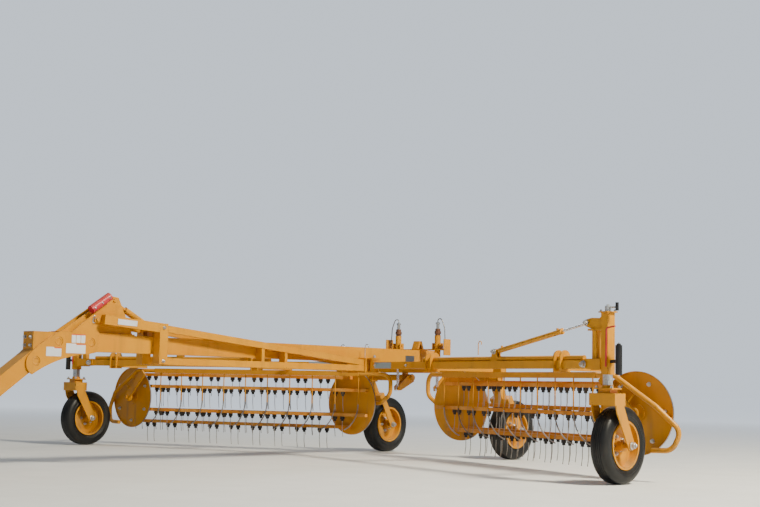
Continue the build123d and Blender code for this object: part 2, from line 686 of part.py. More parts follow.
def rear_towers():
    """The bridge over the backbone that holds the two upright cylinders by their trunnions."""
    top = BACK_Z + BACK_H / 2
    middle = CRANK_PIN[0]
    end = CRANK_Y + 140
    shape = block((middle - 60, middle + 60), (-end, end), (top, top + 14))
    # The inverted V between the cylinders
    peak = top + 110
    foot = top + 13
    outline = [(middle - 60, foot), (middle - 22, peak), (middle + 22, peak), (middle + 60, foot),
               (middle + 30, foot), (middle, peak - 32), (middle - 30, foot)]
    shape += plate(outline, -45, 45)
    for side in (-1, 1):
        y = side * end
        shape += block((middle - 60, middle + 60), sorted((y, y + side * 10)), (top - 60, top + 130))
        for y in (CRANK_Y - LIFT_R - 22, CRANK_Y + LIFT_R + 10):
            ear = sorted((side * y, side * (y + 12)))
            shape += block((middle - 35, middle + 35), ear, (top + 10, TRUNNION_Z + 30))
        shape -= rod((middle, 0, TRUNNION_Z), (middle, side * 400, TRUNNION_Z), TRUNNION_R + RUN)
        shape -= rod((middle, side * CRANK_Y, top - 10), (middle, side * CRANK_Y, top + 30), LIFT_R + 10)
    return shape


def rear_leg():
    """The rocking shaft, its crank and the leg with its fork."""
    x, y = REAR_HUB
    shape = rod((CROSS_X, CRANK_Y - 60, SHAFT_Z), (CROSS_X, y + 75, SHAFT_Z), SHAFT_R)
    crank = plate([(CROSS_X - 50, SHAFT_Z - 45), (CROSS_X - 30, SHAFT_Z + 45), (CROSS_X + 40, SHAFT_Z + 40),
                   (CRANK_PIN[0] + 28, CRANK_PIN[1] + 20), (CRANK_PIN[0] + 20, CRANK_PIN[1] - 28),
                   (CRANK_PIN[0] - 25, CRANK_PIN[1] - 25)], CRANK_Y + 22, CRANK_Y + 36)
    shape += crank
    shape += crank.moved(Location((0, -58, 0)))
    shape += rod((CRANK_PIN[0], CRANK_Y - 44, CRANK_PIN[1]), (CRANK_PIN[0], CRANK_Y + 44, CRANK_PIN[1]), 14)
    reach = Vector(x - CROSS_X, 0, WHEEL_R - SHAFT_Z)
    along = reach.normalized()
    top = Vector(CROSS_X, y, SHAFT_Z)
    crown = Vector(x, y, WHEEL_R) - along * (WHEEL_R + 55)
    shape += rod((CROSS_X, y - 55, SHAFT_Z), (CROSS_X, y + 55, SHAFT_Z), 53)
    shape += tube(tuple(top), tuple(crown), 110, 90, 6)
    half = TYRE_W / 2 + FORK_GAP + FORK_T
    shape += bar(tuple(crown - along * 35), tuple(crown + along * 35), 2 * half, 90)
    for low in (half - FORK_T, -half):
        middle = low + FORK_T / 2
        start = crown + Vector(0, middle, 0)
        end = Vector(x, y + middle, WHEEL_R)
        shape += bar(tuple(start), tuple(end), FORK_T, FORK_W)
        shape += rod((x, y + low, WHEEL_R), (x, y + low + FORK_T, WHEEL_R), BLADE_END_R - 2)
    return shape + axle(x, y)


def rear_barrel():
    """An upright lift cylinder with its collar, head and trunnions."""
    x, y = CRANK_PIN[0], CRANK_Y
    reach = LIFT_R + 30
    shape = rod((x, y, LIFT_HEAD_Z - 450), (x, y, LIFT_HEAD_Z - 80), LIFT_R)
    shape += rod((x, y, LIFT_HEAD_Z - 80), (x, y, LIFT_HEAD_Z), LIFT_R - 5)
    shape += rod((x, y, LIFT_HEAD_Z - 60), (x, y, LIFT_HEAD_Z - 30), LIFT_R + 3)
    shape += rod((x, y, LIFT_HEAD_Z), (x, y, LIFT_HEAD_Z + 55), 18)
    shape += rod((x, y - reach, TRUNNION_Z), (x, y + reach, TRUNNION_Z), TRUNNION_R)
    return shape - rod((x, y, LIFT_HEAD_Z - 460), (x, y, LIFT_HEAD_Z - 90), 16 + RUN)


def rear_rod():
    x, y = CRANK_PIN[0], CRANK_Y
    shape = rod((x, y, CRANK_PIN[1] + 20), (x, y, 1300), 16)
    shape += rod((x, y - 14, CRANK_PIN[1]), (x, y + 14, CRANK_PIN[1]), 26)
    return shape - rod((x, y - 20, CRANK_PIN[1]), (x, y + 20, CRANK_PIN[1]), 14 + EYE_FREE)


def document_tube():
    """The document tube, on two feet against the gooseneck mast's side."""
    y = 96
    shape = rod((2874, y, 1477), (2667, y, 1615), 40)
    for x in (2700, 2760):
        shape += block((x, x + 24), (50, y), (1538, 1558))
    return shape


def on_right(shape):
    return shape.mirror(Plane.XZ)


def placed_bars(side, sign):
    base = tooth_bar(sign)
    places = []
    for angle in bar_angles(side):
        turn = math.radians(angle)
        shift = (0, BAR_CIRCLE * math.cos(turn) * sign, BAR_CIRCLE * math.sin(turn))
        places.append(base.moved(Location(shift)))
    return places


def write(name, shape):
    stored = shape.moved(Location((-HITCH_X, 0, -HITCH_H)))
    export_step(stored, os.path.join("parts", name + ".step"))


def pair(name, shape):
    write(name + "_left", shape)
    write(name + "_right", on_right(shape))


def both(name, shape):
    write(name, Compound([shape, on_right(shape)]))


os.makedirs("parts", exist_ok=True)

write("backbone", backbone())
write("gooseneck_cheeks", gooseneck_cheeks())
write("hitch_tube", hitch_tube())
write("gooseneck_mast", gooseneck_mast())
write("rear_cross", rear_cross())
write("rear_towers", rear_towers())
write("document_tube", document_tube())
both("side_stays", side_stay())
both("pivot_brackets", pivot_bracket())
pair("wing_arm", wing_arm())
pair("front_mast", front_mast())
pair("caster_post", caster_post())
pair("mast_canister", mast_canister())
pair("lift_barrel", lift_barrel())
pair("lift_rod", lift_rod())
pair("caster_fork", caster_fork())
pair("front_tyre", tyre(0, KING[1]))
pair("front_rim", rim(0, KING[1]))
pair("basket_frame", basket_frame())
pair("drive_motor", drive_motor())
pair("rear_leg", rear_leg())
pair("rear_tyre", tyre(*REAR_HUB))
pair("rear_rim", rim(*REAR_HUB))
pair("rear_barrel", rear_barrel())
pair("rear_rod", rear_rod())
for side, sign in SIDES.items():
    turned = on_right if sign < 0 else (lambda shape: shape)
    write("outer_disc_" + side, turned(drilled_disc(DISC_OUT, 1, side)))
    write("inner_disc_" + side, turned(drilled_disc(DISC_IN, -1, side)))
    bars = placed_bars(side, sign)
    for number in range(BAR_COUNT):
        write("tooth_bar_{}_{}".format(side, number + 1), bars[number])
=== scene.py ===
# %% [markdown]
# # A towed twin basket rake
#
# The real machine is a long painted steel frame with two slanted baskets of spring teeth under its wings.
# The frame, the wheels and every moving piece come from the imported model. This lesson dresses them: it
# gives each surface a finish, and adds the tread, nuts, plates and other small pieces that the model leaves
# out.

import json
import math

import bmesh
import bpy
from mathutils import Matrix, Vector


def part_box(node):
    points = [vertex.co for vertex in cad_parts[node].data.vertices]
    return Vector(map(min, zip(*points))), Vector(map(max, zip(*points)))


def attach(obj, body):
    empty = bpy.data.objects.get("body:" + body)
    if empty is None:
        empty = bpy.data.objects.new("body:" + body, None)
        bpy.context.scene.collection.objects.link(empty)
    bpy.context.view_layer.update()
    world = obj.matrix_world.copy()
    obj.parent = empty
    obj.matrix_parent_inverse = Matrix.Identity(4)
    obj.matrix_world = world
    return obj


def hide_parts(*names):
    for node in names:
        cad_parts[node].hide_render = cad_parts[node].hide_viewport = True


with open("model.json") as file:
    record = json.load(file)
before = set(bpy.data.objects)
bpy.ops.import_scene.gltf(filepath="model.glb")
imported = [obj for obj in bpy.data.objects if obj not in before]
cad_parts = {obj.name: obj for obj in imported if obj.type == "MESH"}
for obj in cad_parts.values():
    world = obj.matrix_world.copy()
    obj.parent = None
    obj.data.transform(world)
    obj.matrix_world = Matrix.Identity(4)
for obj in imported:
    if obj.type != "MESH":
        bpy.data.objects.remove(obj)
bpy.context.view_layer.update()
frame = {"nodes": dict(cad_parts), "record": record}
nodes = frame["nodes"]
record = frame["record"]

# %% [markdown]
# ## Where things are
#
# The frame's origin is the hitch pin. It is easier to think in metres over the ground, with x = 0 under the
# front wheel hubs, so one function turns such a place into the frame's own. A second one does the same
# along a wing's slanted arm, where s runs from its pivot out to the mast, t across it to its rear, and z
# up. The two wings mirror each other, so each side has a sign for y, and one loop makes both.

# %% Places over the ground
SIDES = {"left": 1, "right": -1}
WHEELS = [(end, side) for side in SIDES for end in ("front", "rear")]
front_low, front_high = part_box("front_tyre_left")
GROUND = front_low.z
HUB_X = (front_low.x + front_high.x) / 2
WHEEL_R = (front_high.z - front_low.z) / 2
TYRE_W = front_high.y - front_low.y
PIVOT = Vector((-0.850, 0.260, 0))  # the left wing's upright pin
KING = Vector((0.170, 4.000, 0))  # the left front wheel's upright axis
ARM_ALONG = (KING - PIVOT).normalized()
ARM_ACROSS = Vector((-ARM_ALONG.y, ARM_ALONG.x, 0))


def place(x, y, z):
    """A point over the ground, in the frame."""
    return Vector((x + HUB_X, y, z + GROUND))


def on_arm(sign, s, t, z):
    """A point of one wing's arm, in the frame."""
    point = PIVOT + ARM_ALONG * s + ARM_ACROSS * t
    return place(point.x, point.y * sign, z)


def turned(sign, direction):
    """A direction of the left side, on the side that is asked for."""
    return Vector((direction[0], direction[1] * sign, direction[2]))


print("ground at", round(GROUND, 3), "front hubs at", round(HUB_X, 3), "wheel radius", round(WHEEL_R, 3))

# %% [markdown]
# ## The camera
#
# The photographer stood ahead and to the left of the machine, with a long lens held low, and tipped the
# camera up a little. The picture's horizon gives the tilt, and the four wheels give the place. The camera's
# three directions are worked out one from the other, which reads more easily than a set of three angles.

# %% Camera
PICTURE_WIDTH = 760
LENS_PIXELS = 1331  # the lens's length in picture pixels
SENSOR = 36.0
SIGHT_END = 300
CAMERA_AT = place(10.18, 10.46, 0.82)
GROUND_SLOPE = 0.026  # how much the field falls to the right of the picture
VIEW_TURN = math.radians(42.5)  # the view's angle from the machine's length
VIEW_TIP = math.radians(6.7)

up = Vector((0, -GROUND_SLOPE, 1)).normalized()
ahead = Vector((-math.cos(VIEW_TURN), -math.sin(VIEW_TURN), 0))
ahead = (ahead - up * ahead.dot(up)).normalized()
right = ahead.cross(up)
tipped = Matrix.Rotation(VIEW_TIP, 3, right) @ ahead
over = right.cross(tipped)
turn = Matrix((right, over, -tipped)).transposed().to_4x4()

lens = bpy.data.cameras.new("camera")
lens.sensor_width = SENSOR
lens.lens = LENS_PIXELS / PICTURE_WIDTH * SENSOR
lens.clip_end = SIGHT_END
camera = bpy.data.objects.new("camera", lens)
camera.matrix_world = Matrix.Translation(CAMERA_AT) @ turn
bpy.context.scene.collection.objects.link(camera)
bpy.context.scene.camera = camera
print("lens", round(lens.lens, 1), "mm")

# %% [markdown]
# ## Marks that every surface shares
#
# A machine that has worked for some seasons carries the same marks everywhere: paint that fades in broad
# patches, grime that runs down, dust on what faces up, mud low down and chips along the edges. They could
# be painted by hand, piece by piece. One node group that works them out from each piece's own coordinates
# keeps them alike instead, and each material decides what they do. A rounded normal, compared with the flat
# one, finds the edges.

# %% Node helpers
def add(tree, kind, wires=None, **settings):
    """A node with its settings, its sockets linked or filled."""
    made = tree.nodes.new("ShaderNode" + kind)
    for name, value in settings.items():
        setattr(made, name, value)
    for socket, value in (wires or {}).items():
        if isinstance(value, bpy.types.NodeSocket):
            tree.links.new(value, made.inputs[socket])
        else:
            made.inputs[socket].default_value = value
    return made


def noise(tree, where, scale, detail, roughness=0.6):
    """A cloudy value between 0 and 1."""
    wires = {"Vector": where, "Scale": scale, "Detail": detail, "Roughness": roughness}
    return add(tree, "TexNoise", wires).outputs["Fac"]


def span(tree, value, low, high, to_low=0.0, to_high=1.0):
    """A value's range, stretched to another and clamped there."""
    wires = {"Value": value, "From Min": low, "From Max": high, "To Min": to_low, "To Max": to_high}
    return add(tree, "MapRange", wires).outputs["Result"]


def maths(tree, operation, first, second, clamp=False):
    """Two values, put together."""
    return add(tree, "Math", {0: first, 1: second}, operation=operation, use_clamp=clamp).outputs[0]


def times(tree, first, second):
    """The product of two values."""
    return maths(tree, "MULTIPLY", first, second)


def mixed(tree, amount, first, second):
    """Two colours, mixed by a mask."""
    mix = add(tree, "Mix", {0: amount}, data_type="RGBA")
    for socket, value in ((mix.inputs[6], first), (mix.inputs[7], second)):
        if isinstance(value, bpy.types.NodeSocket):
            tree.links.new(value, socket)
        else:
            socket.default_value = (*value, 1)
    return mix.outputs[2]


# %% The marks group
EDGE_R = 0.006  # how far in from an edge the paint is thin
MUD_TOP = 0.85  # how high over the ground the field's mud splashes
MUD_FOOT = 0.15  # below this it is thickest
RUN_DOWN = (7, 7, 1.4)  # draws a noise out in height, as grime runs

marks = bpy.data.node_groups.new("marks", "ShaderNodeTree")
coordinates = add(marks, "TexCoord")
where = coordinates.outputs["Object"]
streaked = add(marks, "Mapping", {"Vector": where, "Scale": RUN_DOWN}).outputs["Vector"]
facing = add(marks, "SeparateXYZ", {0: coordinates.outputs["Normal"]}).outputs["Z"]
rounded = add(marks, "Bevel", {"Radius": EDGE_R}, samples=4).outputs["Normal"]
flat = add(marks, "NewGeometry").outputs["Normal"]
height_over = add(marks, "SeparateXYZ", {0: where}).outputs["Z"]
likeness = add(marks, "VectorMath", {0: rounded, 1: flat}, operation="DOT_PRODUCT").outputs["Value"]
# Most masks take a narrow part of their source's range and stretch it to 0 to 1
found = {
    "Broad": span(marks, noise(marks, where, 2.3, detail=3), 0.38, 0.66),
    "Fine": noise(marks, where, 260, detail=3),
    "Streak": span(marks, noise(marks, streaked, 1.0, detail=5), 0.52, 0.80),
    "Up": span(marks, facing, 0.35, 0.95),
    "Edge": span(marks, likeness, 0.998, 0.90),
    "Speck": span(marks, noise(marks, where, 26, detail=8, roughness=0.75), 0.50, 0.62),
    "Spot": span(marks, noise(marks, where, 13, detail=9, roughness=0.8), 0.645, 0.675),
    "Low": span(marks, height_over, GROUND + MUD_TOP, GROUND + MUD_FOOT),
}
for name in found:
    marks.interface.new_socket(name, in_out="OUTPUT", socket_type="NodeSocketFloat")
marks_out = marks.nodes.new("NodeGroupOutput")
for name, value in found.items():
    marks.links.new(value, marks_out.inputs[name])
print("masks:", ", ".join(found))

# %% [markdown]
# ## Finishes
#
# Painted steel is the main one. Under it are the same masks each time: the broad one bleaches the paint,
# the streaks darken it, the edges and specks chip it down to rust, and dust and mud lie on top. Plated and
# bare steel, rubber and plastics follow the same pattern with fewer marks. A function for each of the three
# kinds keeps them apart, and a finish is then one line that says its two colours and how worn it is.

# %% Finish helpers
DUST = (0.50, 0.40, 0.23)
RUST = (0.16, 0.065, 0.025)
GRIME = (0.10, 0.065, 0.03)
MUD = (0.20, 0.125, 0.055)
SPECULAR = 0.3  # fine dirt takes some of the shine off paint and rubber
COAT_ROUGHNESS = 0.25
PAINT_GRAIN = 0.0004  # how deep each surface's relief is
STEEL_GRAIN = 0.0002
MOULDED_GRAIN = 0.0003
PLATE_GRAIN = 0.0001


def start(name):
    """A new material, its shader and its masks."""
    material = bpy.data.materials.new(name)
    material.use_nodes = True
    tree = material.node_tree
    masks = tree.nodes.new("ShaderNodeGroup")
    masks.node_tree = marks
    return material, tree, tree.nodes["Principled BSDF"], masks.outputs


def bump(tree, shader, height, depth, strength):
    """A fine relief for the shader."""
    made = add(tree, "Bump", {"Height": height, "Distance": depth, "Strength": strength})
    tree.links.new(made.outputs["Normal"], shader.inputs["Normal"])


def roughened(tree, shader, mask, marred, strength, low, high):
    """Roughness between two values by the grain, and more where the surface is marred."""
    grain = span(tree, mask["Fine"], 0, 1, low, high)
    rough = maths(tree, "ADD", times(tree, marred, strength), grain, clamp=True)
    tree.links.new(rough, shader.inputs["Roughness"])


# %% Paint over steel
def painted(name, fresh, faded, dust, chips, grime, gloss=0.36, coat=0.10):
    """Machine paint. Chips are the rust's share at the edges and in spots, and lie deeper than the paint."""
    material, tree, shader, mask = start(name)
    colour = mixed(tree, mask["Broad"], fresh, faded)
    colour = mixed(tree, times(tree, mask["Streak"], grime), colour, GRIME)
    at_edges = times(tree, times(tree, mask["Edge"], mask["Speck"]), chips * 2)
    in_spots = times(tree, mask["Spot"], chips * 0.8)
    chipped = maths(tree, "MAXIMUM", span(tree, at_edges, 0.25, 0.5), in_spots)
    colour = mixed(tree, chipped, colour, RUST)
    lying = times(tree, mask["Up"], span(tree, mask["Broad"], -0.6, 1.2, 0.2, dust))
    colour = mixed(tree, lying, colour, DUST)
    splashed = times(tree, mask["Low"], span(tree, mask["Streak"], 0.0, 0.7, 0.12, 0.75))
    colour = mixed(tree, splashed, colour, MUD)
    tree.links.new(colour, shader.inputs["Base Color"])
    dull = maths(tree, "MAXIMUM", lying, chipped)
    roughened(tree, shader, mask, dull, 0.5, gloss - 0.08, gloss + 0.12)
    shader.inputs["Coat Weight"].default_value = coat
    shader.inputs["Specular IOR Level"].default_value = SPECULAR
    shader.inputs["Coat Roughness"].default_value = COAT_ROUGHNESS
    relief = maths(tree, "ADD", mask["Fine"], times(tree, chipped, -2.0))
    bump(tree, shader, relief, PAINT_GRAIN, 0.6)
    return material


# %% Bare and plated steel
def metal(name, bright, dark, gloss, metallic, dirt, cells=None):
    """Steel, with the crystal cells of hot zinc where their scale is given."""
    material, tree, shader, mask = start(name)
    shade = mask["Broad"]
    if cells:
        coordinates = add(tree, "TexCoord").outputs["Object"]
        grain = add(tree, "TexVoronoi", {"Vector": coordinates, "Scale": cells}).outputs["Color"]
        shade = add(tree, "SeparateColor", {0: grain}).outputs[0]
    colour = mixed(tree, shade, bright, dark)
    soiled = times(tree, mask["Streak"], dirt)
    colour = mixed(tree, soiled, colour, GRIME)
    tree.links.new(colour, shader.inputs["Base Color"])
    shader.inputs["Metallic"].default_value = metallic
    roughened(tree, shader, mask, soiled, 0.6, gloss, gloss + 0.12)
    bump(tree, shader, mask["Fine"], STEEL_GRAIN, 0.4)
    return material


# %% Rubber and plastic
def moulded(name, fresh, faded, gloss, dust, grain=MOULDED_GRAIN):
    """Rubber, plastic or a thick dark paint, with dust in its grain."""
    material, tree, shader, mask = start(name)
    shader.inputs["Specular IOR Level"].default_value = SPECULAR
    colour = mixed(tree, mask["Broad"], fresh, faded)
    lying = maths(tree, "ADD", times(tree, mask["Up"], 0.6), times(tree, mask["Streak"], 0.7))
    lying = times(tree, lying, dust)
    colour = mixed(tree, lying, colour, DUST)
    tree.links.new(colour, shader.inputs["Base Color"])
    roughened(tree, shader, mask, lying, 0.5, gloss - 0.06, gloss + 0.1)
    bump(tree, shader, mask["Fine"], grain, 0.7)
    return material


# %% The finishes of the record's slots
FINISHES = {
    "yellow_paint": painted("yellow_paint", (0.58, 0.232, 0.001), (0.61, 0.262, 0.003),
                            dust=0.22, chips=0.9, grime=0.34),
    "faded_paint": painted("faded_paint", (0.62, 0.205, 0.008), (0.68, 0.32, 0.06),
                           dust=0.35, chips=0.9, grime=0.4, gloss=0.5, coat=0.0),
    "tyre_rubber": moulded("tyre_rubber", (0.006, 0.0065, 0.007), (0.014, 0.014, 0.015),
                           gloss=0.42, dust=0.07),
    "galvanised": metal("galvanised", (0.62, 0.64, 0.65), (0.42, 0.44, 0.46),
                        gloss=0.36, metallic=0.85, dirt=0.35, cells=70),
    "cylinder_rod": metal("cylinder_rod", (0.75, 0.76, 0.78), (0.66, 0.67, 0.70),
                          gloss=0.12, metallic=1.0, dirt=0.15),
    "black_paint": moulded("black_paint", (0.014, 0.014, 0.016), (0.030, 0.030, 0.032),
                           gloss=0.38, dust=0.22),
    "red_plastic": moulded("red_plastic", (0.42, 0.012, 0.022), (0.55, 0.045, 0.055),
                           gloss=0.36, dust=0.25),
}
yellow = FINISHES["yellow_paint"]
black = FINISHES["black_paint"]
red = FINISHES["red_plastic"]
print("finishes of slots:", ", ".join(FINISHES))

# %% The finishes of smaller pieces
steel = metal("worn_steel", (0.42, 0.40, 0.38), (0.17, 0.13, 0.10), gloss=0.34, metallic=0.85, dirt=0.5)
mount_rubber = moulded("mount_rubber", (0.012, 0.011, 0.011), (0.028, 0.025, 0.023), gloss=0.55, dust=0.3)
zinc = metal("zinc_nuts", (0.62, 0.63, 0.64), (0.44, 0.43, 0.40), gloss=0.28, metallic=0.95, dirt=0.4)
collar_brown = painted("collar_brown", (0.10, 0.035, 0.018), (0.16, 0.07, 0.035),
                       dust=0.3, chips=0.6, grime=0.6, gloss=0.45, coat=0.0)
plate_white = moulded("plate_white", (0.66, 0.70, 0.76), (0.55, 0.58, 0.62),
                      gloss=0.35, dust=0.25, grain=PLATE_GRAIN)
plate_grey = moulded("plate_grey", (0.045, 0.050, 0.062), (0.075, 0.080, 0.095),
                     gloss=0.35, dust=0.2, grain=PLATE_GRAIN)
plate_blue = moulded("plate_blue", (0.20, 0.33, 0.42), (0.26, 0.38, 0.46),
                     gloss=0.30, dust=0.15, grain=PLATE_GRAIN)
plate_orange = moulded("plate_orange", (0.62, 0.10, 0.02), (0.66, 0.18, 0.06),
                       gloss=0.35, dust=0.2, grain=PLATE_GRAIN)
print("finishes in all:", len(bpy.data.materials))

# %% [markdown]
# ## Finishes on the frame's own pieces
#
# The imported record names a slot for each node, so most pieces take their finish from that. Some nodes hold
# more than one material: a tooth bar, for one, has a painted tube, black rubber mounts and steel teeth. The
# node could be cut up, but it has to stay as it came. So each of its faces is given the right finish by the
# place of the face's middle. The same is done for the strippers, which the hay rubs bright, the crank's
# black grip, the heads of the rear cylinders and the rubbed edges of the discs.

# %% One finish for each node
for part in record["subparts"]:
    mesh = nodes[part["node"]].data
    mesh.materials.clear()
    mesh.materials.append(FINISHES[part["material_slot"]])
print("nodes with their slot's finish:", len(record["subparts"]))


# %% Several finishes on one node
BARS = 6
BAR_NAMES = ["tooth_bar_{}_{}".format(side, number) for side in SIDES for number in range(1, BARS + 1)]
BAR_S = 0.040  # tooth bar's height
MOUNT_DROP = 0.075  # from the bar's middle to the rubber's foot
SLACK = 0.0005  # a face that lies on a limit belongs above it
STRIPPER_X = (-1.62, -0.64)  # between these a low face of the basket is a stripper's
STRIPPER_TOP = 0.600
MAST_TOP = 1.505
GRIP_FROM = 0.085  # the crank's grip is farther than this from the mast's upright axis
COLLAR_LOW = 1.425  # the rear cylinders' brown collar
COLLAR_TOP = 1.511
DISC_WORN_R = 0.387  # the hay rubs the edge outside this bright
shared = []


def share(name, finishes, choose):
    """Gives each face of a node one of several finishes, by its middle over the ground."""
    mesh = nodes[name].data
    mesh.materials.clear()
    for finish in finishes:
        mesh.materials.append(finish)
    for face in mesh.polygons:
        middle = face.center
        face.material_index = choose(middle.x - HUB_X, middle.y, middle.z - GROUND)
    shared.append(name)


for name in BAR_NAMES:
    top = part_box(name)[1].z - GROUND
    tube_foot = top - BAR_S - SLACK
    rubber_foot = top - BAR_S / 2 - MOUNT_DROP - SLACK
    share(name, [FINISHES["faded_paint"], mount_rubber, steel],
          lambda x, y, z: 0 if z > tube_foot else (1 if z > rubber_foot else 2))
for side in SIDES:
    share("basket_frame_" + side, [yellow, steel],
          lambda x, y, z: int(STRIPPER_X[0] < x < STRIPPER_X[1] and z < STRIPPER_TOP))
    share("caster_post_" + side, [FINISHES["galvanised"], black],
          lambda x, y, z: int(z > MAST_TOP and math.hypot(x - KING.x, abs(y) - KING.y) > GRIP_FROM))
    share("rear_barrel_" + side, [yellow, collar_brown, zinc],
          lambda x, y, z: 0 if z < COLLAR_LOW else (1 if z < COLLAR_TOP else 2))
    for disc in ("outer_disc_", "inner_disc_"):
        low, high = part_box(disc + side)
        hub_y, hub_z = (low.y + high.y) / 2, (low.z + high.z) / 2 - GROUND
        share(disc + side, [yellow, steel],
              lambda x, y, z: int(math.hypot(y - hub_y, z - hub_z) > DISC_WORN_R))
print("nodes with several finishes:", len(shared))

# %% [markdown]
# ## Making small pieces
#
# Every small piece starts as a primitive of its real size and is shaped in edit mode. What repeats, such as
# a nut, is modelled once at the origin and then copied to its places. That keeps the copies alike and the
# file short. The copies on one body are joined into one piece, which rides on that body.

# %% Opening and closing a shape
MERGE = 0.00005  # corners closer than this become one
FACING = 0.9  # a face whose normal has this much of a direction faces that way


def settled():
    """The primitive just made, with its place and size kept in its mesh."""
    piece = bpy.context.object
    bpy.ops.object.transform_apply(location=True, rotation=True, scale=True)
    return piece


def edit(piece):
    """Opens a piece for shaping, with nothing selected."""
    bpy.ops.object.select_all(action="DESELECT")
    bpy.context.view_layer.objects.active = piece
    piece.select_set(True)
    bpy.ops.object.mode_set(mode="EDIT")
    bpy.ops.mesh.select_mode(type="FACE")
    bpy.ops.mesh.select_all(action="DESELECT")
    return bmesh.from_edit_mesh(piece.data)


def pick(shape, test):
    """Selects the faces whose normal passes a test."""
    for face in shape.faces:
        face.select_set(test(face.normal))


def close(piece, smooth):
    """Ends the shaping: corners merged, normals out, smooth shading up to an angle in degrees."""
    bpy.ops.mesh.select_all(action="SELECT")
    bpy.ops.mesh.remove_doubles(threshold=MERGE)
    bpy.ops.mesh.normals_make_consistent(inside=False)
    bpy.ops.object.mode_set(mode="OBJECT")
    bpy.ops.object.transform_apply(location=True, rotation=True, scale=True)
    bpy.ops.object.shade_smooth_by_angle(angle=math.radians(smooth))
    return piece


# %% Turned tops and chains
def upright(vertices, radius, height, foot=0.0):
    """A cylinder along +Z, open for shaping with its top selected."""
    at = (0, 0, height / 2 + foot)
    bpy.ops.mesh.primitive_cylinder_add(vertices=vertices, radius=radius, depth=height, location=at)
    piece = settled()
    pick(edit(piece), lambda normal: normal.z > FACING)
    return piece


def stepped(steps):
    """Turns the selected top in steps, each with a way in and a way up."""
    for inward, upward in steps:
        bpy.ops.mesh.inset(thickness=inward, depth=upward)


def raised(height):
    """Draws the selected top up."""
    bpy.ops.mesh.extrude_region_move(TRANSFORM_OT_translate={"value": (0, 0, height)})


def chain(first, steps):
    """Edges from a point along steps, one after the other, open for shaping."""
    bpy.ops.mesh.primitive_plane_add(size=0.001, location=first)
    piece = settled()
    edit(piece)
    bpy.ops.mesh.select_mode(type="VERT")
    bpy.ops.mesh.select_all(action="SELECT")
    bpy.ops.mesh.merge(type="CENTER")
    for step in steps:
        bpy.ops.mesh.extrude_region_move(TRANSFORM_OT_translate={"value": step})
    return piece


# %% Placing helpers
def copied(model, place_at, axis, size=1.0, spin=0.0):
    """A copy of a model that stands along +Z, moved to a place and turned to an axis."""
    piece = bpy.data.objects.new(model.name, model.data.copy())
    bpy.context.scene.collection.objects.link(piece)
    matrix = Vector(axis).to_track_quat("Z", "Y").to_matrix().to_4x4()
    matrix = Matrix.Translation(place_at) @ matrix @ Matrix.Rotation(spin, 4, "Z") @ Matrix.Scale(size, 4)
    piece.data.transform(matrix)
    return piece


def joined(name, pieces):
    """One piece from several, with a name."""
    bpy.ops.object.select_all(action="DESELECT")
    for piece in pieces:
        piece.select_set(True)
    bpy.context.view_layer.objects.active = pieces[0]
    if len(pieces) > 1:
        bpy.ops.object.join()
    pieces[0].name = name
    pieces[0].data.name = name
    return pieces[0]


def finished(name, pieces, finish, body):
    """One piece from several, with its name and finish, on its body."""
    piece = joined(name, pieces)
    piece.data.materials.clear()
    piece.data.materials.append(finish)
    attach(piece, body)
    return piece


def hub_of(end, side):
    """The middle of a wheel's rim, in the frame."""
    low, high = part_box("{}_rim_{}".format(end, side))
    return (low + high) / 2


print("front hubs:", [round(value, 3) for value in hub_of("front", "left")])

# %% [markdown]
# ## Tyres
#
# Ribbed implement tyres are turned shapes: five ribs round the tread with grooves between them, a round
# shoulder, and a bulging side wall with a raised line. A lathe's way suits them. One chain of edges follows
# the outline, and a spin turns it round the hub. Each tyre stands in for its plain solid.

# %% A tyre
GROOVES = ((0.008, 0.013), (0.027, 0.032))  # a groove's two edges, from the tread's middle
GROOVE_DEPTH = 0.009
GROOVE_LEAN = 0.001  # how far a groove's side leans
RIB_FALL = 0.001  # how much lower each rib is than the one inside it
TREAD_HALF = 0.048
SHOULDER_DROP = 0.066
SHOULDER_STEPS = 7
# The side wall: how far in from the widest place, and the radius
WALL = ((0.002, 0.262), (0.0, 0.258), (0.002, 0.254), (0.008, 0.238), (0.016, 0.224))
BEAD_HALF = 0.061
BEAD_R = 0.2175
RIM_R = 0.2065
TYRE_STEPS = 88


def tyre_outline():
    """Half of the outline, from the tread's middle to the bead: side offset and radius."""
    points = [(0, WHEEL_R)]
    for number, (near, far) in enumerate(GROOVES):
        top = WHEEL_R - number * RIB_FALL
        foot = top - GROOVE_DEPTH
        points += [(near, top), (near + GROOVE_LEAN, foot), (far - GROOVE_LEAN, foot), (far, top)]
    shoulder = WHEEL_R - len(GROOVES) * RIB_FALL
    points.append((TREAD_HALF, shoulder))
    half = TYRE_W / 2
    for step in range(1, SHOULDER_STEPS + 1):
        angle = math.radians(step * 90 / SHOULDER_STEPS)
        points.append((TREAD_HALF + (half - TREAD_HALF) * math.sin(angle),
                       shoulder - SHOULDER_DROP * (1 - math.cos(angle))))
    points += [(half - inward, radius) for inward, radius in WALL]
    return points + [(BEAD_HALF, BEAD_R), (BEAD_HALF, RIM_R)]


